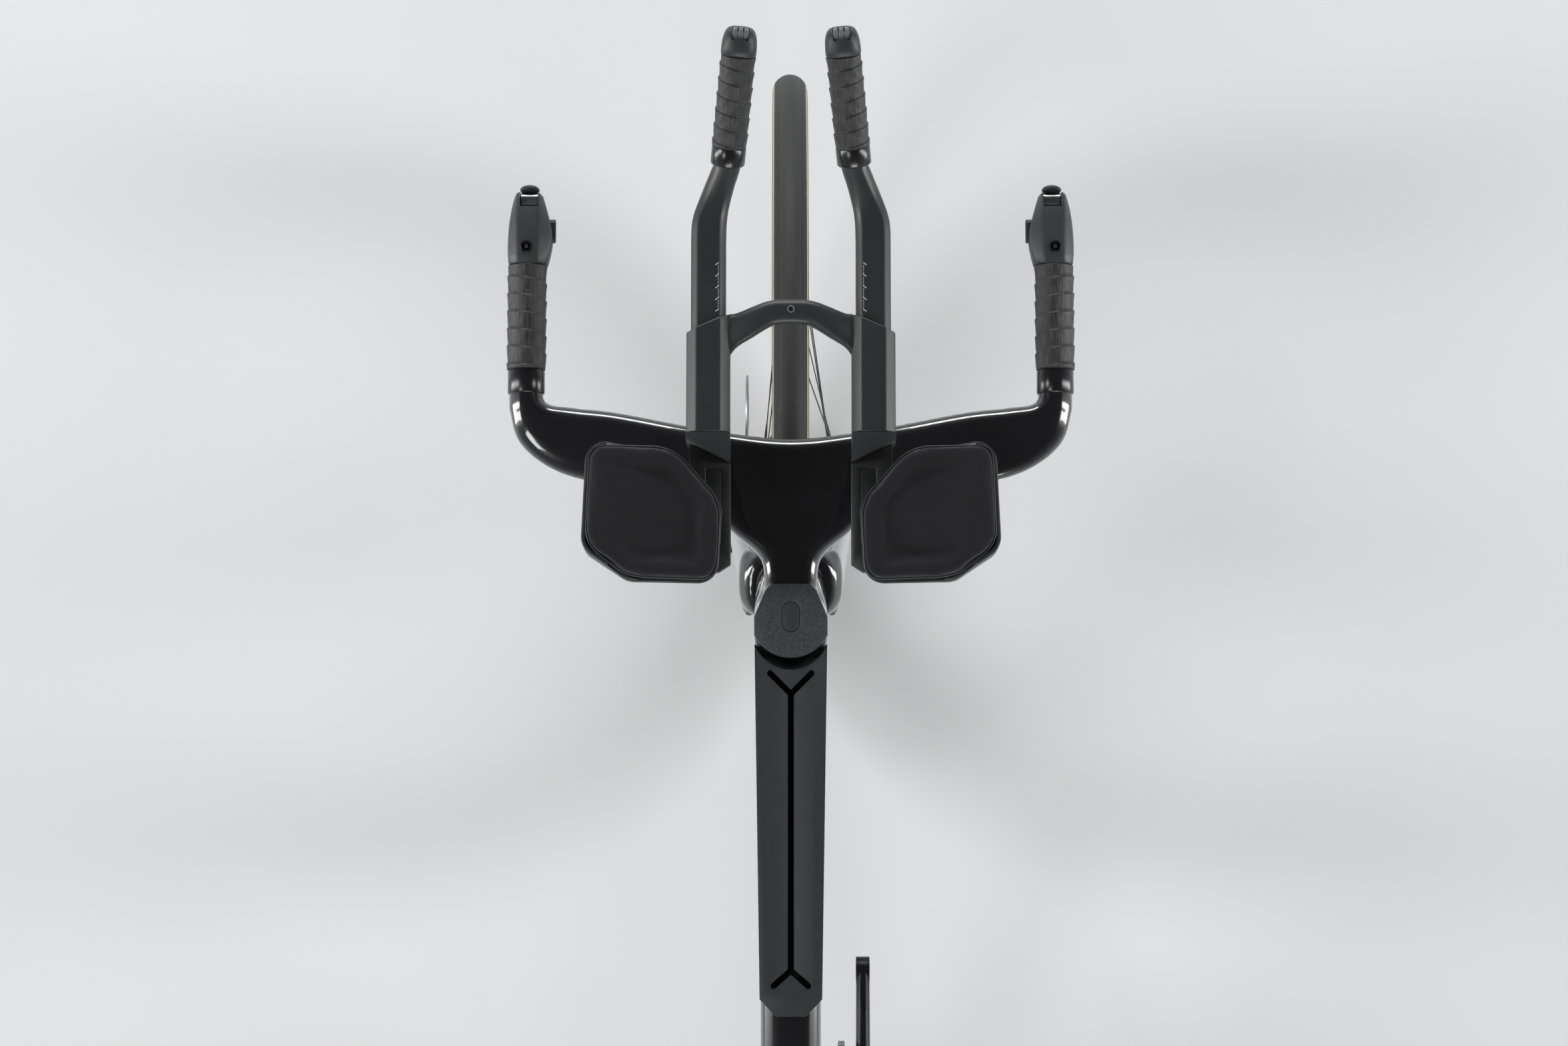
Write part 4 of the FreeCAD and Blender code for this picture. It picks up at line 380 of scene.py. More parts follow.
# the object from points in millimetres
def solidFrom(name, points, faces, sharp=crispEdge):
    mesh = bpy.data.meshes.new(name)
    mesh.from_pydata([Vector(p) * mm for p in points], [], faces)
    return linked(name, mesh, sharp)


def linked(name, mesh, sharp):
    tidyMesh(mesh, sharp)
    return placed(name, mesh)


def tidyMesh(mesh, sharp):
    work = bmesh.new()
    work.from_mesh(mesh)
    bmesh.ops.remove_doubles(work, verts=work.verts, dist=weld)
    bmesh.ops.recalc_face_normals(work, faces=work.faces)
    limit = math.radians(sharp)
    for edge in work.edges:
        edge.smooth = len(edge.link_faces) == 2 and edge.calc_face_angle(0) < limit
    for face in work.faces:
        face.smooth = True
    work.to_mesh(mesh)
    work.free()


def settled(piece, sharp=crispEdge):
    bpy.context.view_layer.update()
    graph = bpy.context.evaluated_depsgraph_get()
    mesh = bpy.data.meshes.new_from_object(piece.evaluated_get(graph))
    piece.modifiers.clear()
    piece.data = mesh
    tidyMesh(mesh, sharp)
    return piece


def dressed(piece, body, slotName, *nodes, finish=None):
    piece.data.materials.clear()
    piece.data.materials.append(look[finish or slotName])
    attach(piece, body)
    if nodes:
        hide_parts(*nodes)
    return piece


def signedPower(value, power):
    return math.copysign(abs(value) ** power, value)


# a closed section; fullness 2 is an ellipse, more is squarer
def ringAt(centre, along, across, length, width, fullness=2.0, taper=0.0, count=40):
    points = []
    for k in range(count):
        angle = 2 * math.pi * (k + 0.5) / count
        a = signedPower(math.cos(angle), 2 / fullness)
        b = signedPower(math.sin(angle), 2 / fullness) * (1 + taper * a)
        points.append(Vector(centre) + along * (a * length / 2) + across * (b * width / 2))
    return points


def skinned(rings):
    count = len(rings[0])
    points = [p for ring in rings for p in ring]
    faces = [tuple(range(count))[::-1], tuple(range(len(points) - count, len(points)))]
    for r in range(len(rings) - 1):
        for k in range(count):
            j = (k + 1) % count
            faces.append((r * count + k, r * count + j, (r + 1) * count + j, (r + 1) * count + k))
    return points, faces


# stations of numbers, filled in with a smooth curve through them
def glide(stations, steps):
    curve = []
    for k in range(len(stations) - 1):
        p0, p1, p2, p3 = [stations[min(max(k + d, 0), len(stations) - 1)] for d in (-1, 0, 1, 2)]
        for s in range(steps):
            t = s / steps
            row = []
            for a, b, c, d in zip(p0, p1, p2, p3):
                row.append(b + 0.5 * t * (c - a + t * (2 * a - 5 * b + 4 * c - d + t * (3 * (b - c) + d - a))))
            curve.append(row)
    return curve + [list(stations[-1])]


# several closed forms grown together into one lacquered skin with soft joins and room cut in it
def grownSkin(name, forms, s, cuts, body, *nodes):
    piece = remeshed(joinedForms(name, forms), s["voxel"], s["passes"])
    if s["keep"] < 1:
        piece.modifiers.new("thin", "DECIMATE").ratio = s["keep"]
    dressed(carved(settled(piece, softEdge), cuts), body, "gloss_carbon", *nodes)


def remeshed(piece, voxel, passes):
    grow = piece.modifiers.new("grow", "REMESH")
    grow.mode, grow.voxel_size = "VOXEL", voxel * mm
    ease = piece.modifiers.new("ease", "SMOOTH")
    ease.factor, ease.iterations = 0.5, passes
    return piece


# a copy of a CAD node with its edges broken; angles in degrees
easeSet = {"flat": 1.0, "segments": 2, "from": 28, "sharp": 40}


def easedNode(name, nodeName, width):
    mesh = frame["nodes"][nodeName].data.copy()
    work = bmesh.new()
    work.from_mesh(mesh)
    bmesh.ops.remove_doubles(work, verts=work.verts, dist=2 * weld)
    bmesh.ops.dissolve_limit(work, angle_limit=math.radians(easeSet["flat"]), verts=work.verts, edges=work.edges)
    work.to_mesh(mesh)
    work.free()
    piece = placed(name, mesh)
    bevel = piece.modifiers.new("ease", "BEVEL")
    bevel.width, bevel.segments = width * mm, easeSet["segments"]
    bevel.limit_method, bevel.angle_limit = "ANGLE", math.radians(easeSet["from"])
    dressed(settled(piece, easeSet["sharp"]), bodyOf[nodeName], slotOf[nodeName], nodeName)


# a profile of (radius, y) pairs spun about the wheel's or the crank's axle
def spun(name, profile, centre, turns):
    points, faces = [], []
    count = len(profile)
    for s in range(turns):
        points += [centre + turned(2 * math.pi * s / turns, radius, y) for radius, y in profile]
        n = (s + 1) % turns
        for k in range(count):
            j = (k + 1) % count
            faces.append((s * count + k, n * count + k, n * count + j, s * count + j))
    return solidFrom(name, points, faces)


# a tree that puts one shape on every point, turned by the point's own angles
def placingTree():
    tree = bpy.data.node_groups.new("placeShapes", "GeometryNodeTree")
    for label, kind in (("Points", "Geometry"), ("Shape", "Object"), ("Finish", "Material")):
        tree.interface.new_socket(label, in_out="INPUT", socket_type="NodeSocket" + kind)
    tree.interface.new_socket("Points", in_out="OUTPUT", socket_type="NodeSocketGeometry")
    start, end, shape, turn, spin, put, real, paint = [tree.nodes.new(kind) for kind in (
        "NodeGroupInput", "NodeGroupOutput", "GeometryNodeObjectInfo", "GeometryNodeInputNamedAttribute",
        "FunctionNodeEulerToRotation", "GeometryNodeInstanceOnPoints", "GeometryNodeRealizeInstances",
        "GeometryNodeSetMaterial")]
    turn.data_type = "FLOAT_VECTOR"
    turn.inputs["Name"].default_value = "turn"
    wired(tree, (start.outputs["Points"], put.inputs["Points"]), (start.outputs["Shape"], shape.inputs["Object"]),
          (shape.outputs["Geometry"], put.inputs["Instance"]), (turn.outputs[0], spin.inputs[0]),
          (spin.outputs[0], put.inputs["Rotation"]), (put.outputs[0], real.inputs[0]),
          (real.outputs[0], paint.inputs["Geometry"]), (start.outputs["Finish"], paint.inputs["Material"]),
          (paint.outputs[0], end.inputs[0]))
    return tree


placeShapes = placingTree()


def repeated(name, shape, spots, finish):
    mesh = bpy.data.meshes.new(name)
    mesh.from_pydata([Vector(place) * mm for place, turn in spots], [], [])
    angles = mesh.attributes.new("turn", "FLOAT_VECTOR", "POINT")
    angles.data.foreach_set("vector", [a for place, turn in spots for a in turn])
    piece = placed(name, mesh)
    modifier = piece.modifiers.new("place", "NODES")
    modifier.node_group = placeShapes
    given = {"Shape": shape, "Finish": look[finish]}
    for item in placeShapes.interface.items_tree:
        if item.in_out == "INPUT" and item.name in given:
            modifier[item.identifier] = given[item.name]
    settled(piece)
    bpy.data.objects.remove(shape)
    return piece


# turn that carries z to one direction and x towards another
def facing(outward, ahead):
    z = Vector(outward).normalized()
    x = (Vector(ahead) - z * z.dot(Vector(ahead))).normalized()
    return tuple(Matrix((x, z.cross(x), z)).transposed().to_euler())


# a smooth form through rows of x, y, z, length, width, fullness, taper
def tubeForm(rows, along, across, steps=6, count=40):
    rings = []
    for x, y, z, length, width, fullness, taper in glide(rows, steps):
        rings.append(ringAt((x, y, z), along, across, length, width, fullness, taper, count))
    return skinned(rings)


# rings of changing radius along a line, closed at both ends
def turnedForm(start, direction, stations, count=40):
    line = Vector(direction).normalized()
    across = line.cross(axisY if abs(line.y) < 0.9 else axisX).normalized()
    up = line.cross(across)
    rings = []
    for run, radius in stations:
        rings.append(ringAt(Vector(start) + line * run, across, up, 2 * radius, 2 * radius, 2.0, 0.0, count))
    return skinned(rings)


# a straight round bar as a closed form
def rod(start, direction, length, radius, count=40):
    return turnedForm(start, direction, [(0, radius), (length, radius)], count)


# a round bar or bore with its middle at a point; the usual half reaches past any piece
def barThrough(middle, direction, radius, half=120, count=40):
    return rod(Vector(middle) - direction * half, direction, 2 * half, radius, count)


def joinedForms(name, forms, sharp=crispEdge):
    points, faces = [], []
    for formPoints, formFaces in forms:
        start = len(points)
        points += formPoints
        faces += [tuple(start + k for k in face) for face in formFaces]
    return solidFrom(name, points, faces, sharp)


def made(name, forms, body, slotName, *nodes, finish=None, sharp=crispEdge):
    return dressed(joinedForms(name, forms, sharp), body, slotName, *nodes, finish=finish)


def mirroredForm(form):
    points, faces = form
    return [Vector((p[0], -p[1], p[2])) for p in points], [tuple(reversed(f)) for f in faces]


def paired(form):
    return [form, mirroredForm(form)]


bothSides = (("left", lambda form: form), ("right", mirroredForm))


# room cut out of a piece for what turns or slides in it, or closed forms joined to it
def carved(piece, cutters, sharp=50, operation="DIFFERENCE"):
    tools = []
    for index, form in enumerate(cutters):
        tool = solidFrom(f"{piece.name}Cut{index}", *form)
        cut = piece.modifiers.new(f"cut{index}", "BOOLEAN")
        cut.operation, cut.solver, cut.object = operation, "EXACT", tool
        tools.append(tool)
    settled(piece, sharp)
    for tool in tools:
        bpy.data.objects.remove(tool)
    return piece


def turned(angle, radius, y=0.0):
    return Vector((math.cos(angle) * radius, y, math.sin(angle) * radius))


def onSteerer(height):
    return steerBase + steerUp * height


# wheels: half profiles as radius and y, mirrored to the other side; turned rows as run and radius
wheelSet = {
    "turns": 144, "hubTurns": 48,
    "tyre": [(312.1, 10.6), (314.6, 12.4), (318.2, 13.9), (321.8, 14.6), (325.4, 14.7), (329.0, 14.0), (332.2, 12.5),
             (335.0, 10.1), (337.2, 7.2), (338.5, 4.0), (338.95, 1.2)],
    "rim": [(311.9, 13.0), (311.4, 13.4), (306.0, 13.45), (298.0, 13.45), (288.0, 12.9), (278.0, 11.5), (268.0, 9.4),
            (260.0, 7.3), (254.5, 5.2), (251.2, 3.0), (250.1, 1.0)],
    "front": {"axle": frontAxle, "count": 20, "flanges": (22, -36), "half": 50, "discY": 37, "rightRadius": 13},
    "rear": {"axle": rearAxle, "count": 24, "flanges": (36, -19), "half": 71, "discY": 58, "rightRadius": 17.4},
    "hubRadius": 13, "waist": 10.8, "flangeRadius": 21, "capRadius": 9.4, "boreRadius": 6.1,
    "spokeLead": 62, "spokeFoot": 22.4, "spokeTip": 250.6, "spokeOffset": 1.2, "discEase": 0.22,
    "cup": [(0, 2.0), (0.5, 2.6), (3.0, 2.6), (3.4, 2.2)], "cupDeep": 3.2,
    "valve": [(0, 3.0), (1.5, 3.0), (1.6, 2.4), (22, 2.4), (22.2, 2.0), (30, 2.0), (30.3, 2.6), (36, 2.4),
              (36.6, 1.6)],
    "valveFoot": Vector((0, 0, 251)), "lock": [(19.6, 0.9), (19.6, 2.6), (18.6, 3.2), (13.4, 3.2), (13.4, 0.9)],
}


def spokeShape(name, length):
    rows = [(0, 2.6, 2.6), (4, 2.6, 2.6), (5, 2.0, 2.0), (14, 2.0, 2.0), (26, 2.4, 1.0), (length - 34, 2.4, 1.0)]
    rows += [(length - 22, 2.0, 2.0), (length - 14, 2.0, 2.0), (length - 13.6, 3.4, 3.4), (length, 3.6, 3.6)]
    return solidFrom(name, *skinned([ringAt((0, 0, z), axisX, axisY, a, b, 2.0, 0.0, 10) for z, a, b in rows]))


# the hub's profile from its right cap to its left one, then back along the bore
def hubProfile(w, s):
    left, right = s["flanges"]
    half, small, big, waist, cap, body = (s["half"], w["hubRadius"], w["flangeRadius"], w["waist"], w["capRadius"],
                                          s["rightRadius"])
    rows = [(-half, cap - 0.8), (-half + 0.8, cap), (-half + 5, cap), (-half + 5, body - 0.6), (-half + 5.6, body),
            (right - 4.0, body), (right - 1.8, big - 0.5), (right - 1.4, big), (right + 1.4, big),
            (right + 1.8, big - 0.5), (right + 7.0, waist), (left - 9.0, waist), (left - 1.8, big - 0.5),
            (left - 1.4, big), (left + 1.4, big), (left + 1.8, big - 0.5), (left + 4.0, small), (half - 5.6, small),
            (half - 5, small - 0.6), (half - 5, cap), (half - 0.8, cap), (half, cap - 0.8),
            (half, w["boreRadius"]), (-half, w["boreRadius"])]
    return [(radius, y) for y, radius in rows]


# where each spoke of a flange starts, how it turns, and its length
def spokeSpots(w, s):
    groups = {}
    for k in range(s["count"]):
        flange = s["flanges"][0] if k % 2 else s["flanges"][1]
        lead = math.radians(w["spokeLead"]) * (1 if (k // 2) % 2 else -1)
        rimAngle = 2 * math.pi * k / s["count"]
        start = s["axle"] + turned(rimAngle + lead, w["spokeFoot"], flange)
        line = s["axle"] + turned(rimAngle, w["spokeTip"], math.copysign(w["spokeOffset"], flange)) - start
        groups.setdefault(flange, []).append((start, facing(line, line.cross(axisY)), line.length))
    return groups.values()


def buildWheel(which, w):
    s, body = w[which], which + "_wheel"
    tyre, rim = [half + [(r, -y) for r, y in reversed(half)] for half in (w["tyre"], w["rim"])]
    dressed(spun(which + "TyreSkin", tyre, s["axle"], w["turns"]), body, "tyre", which + "_tyre")
    dressed(spun(which + "RimSkin", rim, s["axle"], w["turns"]), body, "rim_carbon", which + "_rim")
    dressed(spun(which + "HubShell", hubProfile(w, s), s["axle"], w["hubTurns"]), body, "black_alloy", which + "_hub")
    for index, spots in enumerate(spokeSpots(w, s)):
        places = [spot[:2] for spot in spots]
        shape = spokeShape(f"{which}Spoke{index}", spots[0][2])
        spokes = repeated(f"{which}Spokes{index}", shape, places, "spoke_steel")
        dressed(spokes, body, "spoke_steel", *([] if index else [which + "_spokes"]))
        cup = joinedForms(f"{which}Cup{index}", [turnedForm(axisZ * -w["cupDeep"], axisZ, w["cup"], 12)])
        dressed(repeated(f"{which}SpokeSeats{index}", cup, places, "black_alloy"), body, "black_alloy")
    valve = turnedForm(s["axle"] + w["valveFoot"], -axisZ, w["valve"], 16)
    made(which + "Valve", [valve], body, "black_alloy")
    easedNode(which + "Disc", which + "_rotor", w["discEase"])
    lock = [(radius, s["discY"] + out) for radius, out in w["lock"]]
    dressed(spun(which + "DiscLock", lock, s["axle"], w["hubTurns"]), body, "black_alloy")


for which in ("front", "rear"):
    buildWheel(which, wheelSet)
print("wheels built")

# frame: head rises, tube rows of share, depth and width, stay rows of x, y, z, depth and width,
# and room round the steerer as start from the head's end, length and radius
frameSet = {
    "voxel": 1.9, "passes": 36, "keep": 0.42,
    "headShift": -12, "headRises": (374.6, 419.6, 464.6), "head": (92, 56, 2.3, 0.08),
    "downTop": Vector((300, 0, 690)), "downFoot": crankAxle + Vector((8, 0, 8)),
    "down": [(-0.06, 64, 42), (0.3, 64, 42), (0.7, 64, 44.1), (1.0, 64, 46.2)],
    "top": [(306, 0, 745.5), (150, 0, 741.5), (0, 0, 737.6), (-216, 0, 732.0)], "topSection": (40, 46, 3.0, 0),
    "seatRise": 499.8, "seat": [(0.0, 52.8), (0.25, 60.72), (0.6, 66), (1.0, 66)], "seatWide": 36,
    "chainStay": [(-90, 25, 266, 33, 13.5), (-104.5, 27, 268.4, 32.5, 13.5), (-198.7, 29, 285, 29.9, 13.5),
                  (-391.3, 66.5, 318.8, 26, 11.5), (-506, 75.5, 339, 18.2, 7.6)],
    "seatStay": [(-166, 6, 606, 31, 13.5), (-179.3, 12, 600, 31.2, 13.5), (-244.6, 25, 547.8, 26, 12.5),
                 (-440.7, 69.5, 391.2, 22.1, 10.5), (-506, 75.5, 339, 16.9, 7.6)],
    "seatStayTop": Vector((-179.3, 0, 600)), "shellHalf": 38, "shellRadius": 23.2, "shellBore": 20.1,
    "dropHalf": 71, "dropThick": 9, "dropRadius": 17, "axleBore": 6.1, "hubRoom": 40,
    "steererBore": (-60, 210, 21.3), "crownRoom": (-80, 80, 51), "capRoom": (0, 80, 29.6),
    "postRises": (332, 430, 525), "postBore": (45.0, 23.0, 2.3, 0), "bossBore": (8, 24, 2.5),
    "bosses": [Vector((89.49, 0, 502.71)), Vector((45.767, 0, 455.979))], "bossSink": 2.0,
    "bossRing": [(6.2, 2.6), (7.6, 2.6), (8.2, 3.2), (8.2, 5.0), (7.6, 5.6), (3.0, 5.6)],
}


def buildFrame(s):
    low, high = s["headRises"][0], s["headRises"][-1]
    shift = steerAhead * s["headShift"]
    forms = [tubeForm([(*(onSteerer(rise) + shift), *s["head"]) for rise in s["headRises"]], steerAhead, axisY)]
    reach = s["downFoot"] - s["downTop"]
    run = reach.normalized()
    upper = Vector((run.z, 0, -run.x))
    rows = [(*(s["downTop"] + reach * share), deep, wide, 2.5, 0) for share, deep, wide in s["down"]]
    forms.append(tubeForm(rows, upper, axisY))
    forms.append(tubeForm([(*p, *s["topSection"]) for p in s["top"]], axisZ, axisY))
    rows = [(*(crankAxle + seatUp * (s["seatRise"] * share)), deep, s["seatWide"], 2.4, 0.1)
            for share, deep in s["seat"]]
    forms.append(tubeForm(rows, seatAhead, axisY))
    forms.append(barThrough(crankAxle, axisY, s["shellRadius"], s["shellHalf"]))
    down = (rearAxle - s["seatStayTop"]).normalized()
    for rows, along in ((s["chainStay"], axisZ), (s["seatStay"], Vector((-down.z, 0, down.x)))):
        stay = tubeForm([(*row, 2.2, 0) for row in rows], along, axisY, 8)
        forms += paired(stay)
    for side in (axisY, -axisY):
        forms.append(rod(rearAxle + side * s["dropHalf"], side, s["dropThick"], s["dropRadius"]))
    rooms = ((low, s["steererBore"]), (low, s["crownRoom"]), (high, s["capRoom"]))
    cuts = [rod(onSteerer(rise + start), steerUp, long, radius) for rise, (start, long, radius) in rooms]
    cuts += [barThrough(rearAxle, axisY, s["hubRoom"], s["dropHalf"]), barThrough(rearAxle, axisY, s["axleBore"]),
             barThrough(crankAxle, axisY, s["shellBore"]),
             tubeForm([(*(crankAxle + seatUp * rise), *s["postBore"]) for rise in s["postRises"]], seatAhead, axisY)]
    deep, long, radius = s["bossBore"]
    cuts += [rod(hole - upper * deep, upper, long, radius, 24) for hole in s["bosses"]]
    grownSkin("frameSkin", forms, s, cuts, "frame", "main_frame", "rear_stays")
    for hole in s["bosses"]:
        made("bossRing", [turnedForm(hole - upper * s["bossSink"], upper, s["bossRing"], 32)], "frame", "black_alloy")


buildFrame(frameSet)
print("frame grown")

# fork: crown rows of rise, depth and width; each leg's depth, width and place run from crown to axle
forkSet = {
    "voxel": 2.2, "passes": 18, "keep": 1.0, "crown": [(346, 48, 77), (359, 60, 82), (371, 57, 66)], "crownAhead": 7,
    "legRise": 356.4, "legAhead": 6, "legShares": (0.0, 0.15, 0.4, 0.7, 1.0), "legDeep": (55.2, 30),
    "legWide": (17.6, 12), "legOut": (32, 56), "dropHalf": 50, "dropThick": 12, "dropRadius": 15,
    "hubRoom": 27, "axleBore": 6.1,
    "steererRise": 364, "steererLong": 118, "steererRadius": 14.2,
}


def between(pair, share):
    return pair[0] + (pair[1] - pair[0]) * share


def buildFork(s):
    top = onSteerer(s["legRise"]) + steerAhead * s["legAhead"]
    run = (frontAxle - top).normalized()
    rows = [(*(onSteerer(rise) + steerAhead * s["crownAhead"]), deep, wide, 2.8, 0)
            for rise, deep, wide in s["crown"]]
    forms = [tubeForm(rows, steerAhead, axisY)]
    rows = []
    for share in s["legShares"]:
        place = between((top, frontAxle), share) + axisY * between(s["legOut"], share)
        rows.append((*place, between(s["legDeep"], share ** 0.8), between(s["legWide"], share), 2.2, 0.1))
    leg = tubeForm(rows, Vector((-run.z, 0, run.x)), axisY)
    forms += paired(leg)
    for side in (axisY, -axisY):
        forms.append(rod(frontAxle + side * s["dropHalf"], side, s["dropThick"], s["dropRadius"]))
    cuts = [barThrough(frontAxle, axisY, s["hubRoom"], s["dropHalf"]), barThrough(frontAxle, axisY, s["axleBore"])]
    grownSkin("forkSkin", forms, s, cuts, "steering", "fork")
    steerer = rod(onSteerer(s["steererRise"]), steerUp, s["steererLong"], s["steererRadius"])
    made("steererTube", [steerer], "steering", "gloss_carbon")


buildFork(forkSet)

# base bar: wing rows of x, y, turn, chord, thickness, level, fullness, taper from the middle to the left horn,
# neck rows of x, width, height, and room round the steerer as rise, length, radius
barSet = {
    "voxel": 1.7, "passes": 16, "keep": 1.0,
    "wing": [(430, 0, 0, 62, 22, 787, 2.4, 0.12), (434, 60, 0, 68, 22, 786, 2.4, 0.12),
             (452, 130, 2, 58, 22, 785, 2.4, 0.12), (460, 168, 14, 51, 22, 785, 2.4, 0.12),
             (471, 190, 40, 40, 24, 785, 2.3, 0.08), (484, 198, 70, 29, 25, 785, 2.1, 0),
             (496, 200, 90, 26, 26, 785, 2.0, 0), (598, 200, 90, 26, 26, 785, 2.0, 0)],
    "neck": [(318, 46, 30), (352, 40, 30), (372, 48, 27), (392, 92, 22), (415, 122, 19), (444, 112, 15)],
    "cover": [(348.7, 14.4), (343.7, 19.4), (324, 27.4), (310.5, 27.4), (302, 23.4), (296.2, 14.5), (293.8, 5)],
    "neckTop": 800.5, "neckFrom": 325, "neckFall": 0.03, "coverTop": 800.6, "coverDrop": 33,
    "steererBore": (440, 70, 14.4), "headRoom": (425, 40.2, 46),
}


def buildBaseBar(s):
    right = [(x, -y, -turn, *rest) for x, y, turn, *rest in reversed(s["wing"][1:])]
    rings = []
    for x, y, turn, chord, thick, level, fullness, taper in glide(right + s["wing"], 8):
        angle = math.radians(turn)
        along = Vector((math.cos(angle), -math.sin(angle), 0))
        rings.append(ringAt((x, y, level), along, axisZ, chord, thick, fullness, taper))
    rows = [(x, 0, s["neckTop"] - high / 2 - (x - s["neckFrom"]) * s["neckFall"], high, wide, 3.0, 0)
            for x, wide, high in s["neck"]]
    outline = s["cover"] + [(x, -y) for x, y in reversed(s["cover"])]
    stem = skinned([[Vector((x, y, s["coverTop"])) - steerUp * drop for x, y in outline]
                    for drop in (s["coverDrop"], 0)])
    forms = [skinned(rings), tubeForm(rows, axisZ, axisY, 8), stem]
    cuts = [rod(onSteerer(rise), steerUp, long, radius) for rise, long, radius in (s["steererBore"], s["headRoom"])]
    grownSkin("baseBarSkin", forms, s, cuts, "steering", "base_bar")


buildBaseBar(barSet)
print("fork and base bar grown")


# tape wound round a bar, each turn lapping the one before, with a faint ripple on it
tapeSet = {"lap": 1.0, "around": 64, "stepsPerTurn": 22, "tuck": 0.9, "edge": 0.9, "swell": 1.4, "ripple": 0.12}
hornTape = {"start": Vector((513.5, 200, 785)), "line": axisX, "length": 80.5, "radius": 15.25, "turns": 6,
            "band": Vector((495, 200, 785)), "bandLong": 18.6, "bandRadius": 13.95}
gripTape = {"start": Vector((654, 47, 868)), "line": Vector((0.88013, -0.10109, 0.46385)), "length": 84.08,
            "radius": 13.35, "turns": 6, "band": 14.0, "bandLap": 0.4, "bandSink": 0.6}


# directions along, across and over a bar
def barSides(direction):
    line = Vector(direction).normalized()
    across = line.cross(axisZ).normalized()
    return line, across, across.cross(line)


def woundTape(w, start, direction, length, radius, turns):
    line, across, up = barSides(direction)
    steps, around, rings = turns * w["stepsPerTurn"], w["around"], []
    for s in range(steps + 1):
        share = s / steps
        tuck = w["tuck"] if s in (0, steps) else 0.0
        ring = []
        for k in range(around):
            angle = 2 * math.pi * k / around
            phase = (share * turns - k / around) % 1.0
            lift = phase / w["edge"] if phase < w["edge"] else (1 - phase) / (1 - w["edge"])
            ripple = w["ripple"] * math.sin(angle * 9 + share * 40) * math.sin(phase * math.pi)
            reach = radius - w["lap"] + w["lap"] * lift ** w["swell"] + ripple - tuck
            spoke = across * math.cos(angle) + up * math.sin(angle)
            ring.append(start + line * (length * share) + spoke * reach)
        rings.append(ring)
    return skinned(rings)


# each point's place along and round its bar, for the embossing
def tapePlaced(piece, start, direction):
    sides = barSides(direction)
    values = []
    for vertex in piece.data.vertices:
        place = Vector((vertex.co.x, abs(vertex.co.y), vertex.co.z)) - start * mm
        values += [place.dot(side) for side in sides]
    piece.data.attributes.new("tapePlace", "FLOAT_VECTOR", "POINT").data.foreach_set("vector", values)
    return piece


def bandForm(start, direction, length, radius):
    stations = [(0, radius - 1.2), (0.4, radius - 0.5), (1.2, radius), (length - 1.0, radius),
                (length - 0.3, radius - 0.4), (length, radius - 1.2)]
    return turnedForm(start, direction, stations, 56)


def buildTapes(w, h, g):
    horn = woundTape(w, h["start"], h["line"], h["length"], h["radius"], h["turns"])
    tape = tapePlaced(joinedForms("hornTape", paired(horn), softEdge), h["start"], h["line"])
    dressed(tape, "steering", "tape_rubber", "bar_tape")
    band = bandForm(h["band"], h["line"], h["bandLong"], h["bandRadius"])
    made("hornBands", paired(band), "steering", "tape_rubber", finish="band_gloss")
    wound = g["length"] - g["band"] - g["bandLap"]
    grip = woundTape(w, g["start"] + g["line"] * g["band"], g["line"], wound, g["radius"], g["turns"])
    band = bandForm(g["start"], g["line"], g["band"] + g["bandLap"], g["radius"] - g["bandSink"])
    for side, turn in bothSides:
        body = "extension_" + side[0]
        tape = tapePlaced(joinedForms(side + "GripTape", [turn(grip)], softEdge), g["start"], g["line"])
        dressed(tape, body, "tape_rubber", "extension_grip_" + side)
        made(side + "GripBand", [turn(band)], body, "tape_rubber", finish="band_gloss")


buildTapes(tapeSet, hornTape, gripTape)
print("tape wound")


# a closed outline with every corner rounded
def softLoop(corners, radius, steps=7):
    loop = []
    for k in range(len(corners)):
        before, here, after = [Vector(corners[(k + d) % len(corners)]) for d in (-1, 0, 1)]
        a = here + (before - here).normalized() * min(radius, (before - here).length * 0.45)
        b = here + (after - here).normalized() * min(radius, (after - here).length * 0.45)
        for s in range(steps):
            t = s / (steps - 1)
            loop.append(a * (1 - t) ** 2 + here * (2 * t * (1 - t)) + b * t * t)
    return loop


# an eight-sided section with rounded corners; roundness 1 makes it a circle
def facetRing(centre, wideDir, highDir, wide, high, chamfer, roundness=0.0, soft=1.6):
    w, h = wide / 2, high / 2
    corners = [(w, h - chamfer), (w - chamfer, h), (chamfer - w, h), (-w, h - chamfer), (-w, chamfer - h),
               (chamfer - w, -h), (w - chamfer, -h), (w, chamfer - h)]
    points = []
    for k in range(8):
        here, before, after = Vector(corners[k]), Vector(corners[k - 1]), Vector(corners[(k + 1) % 8])
        a, b = here + (before - here).normalized() * soft, here + (after - here).normalized() * soft
        for t in (0.0, 0.33, 0.67, 1.0):
            p = a * (1 - t) ** 2 + here * (2 * t * (1 - t)) + b * t * t
            p = p.lerp(p.normalized() * (w + h) / 2, roundness)
            points.append(Vector(centre) + wideDir * p.x + highDir * p.y)
    return points


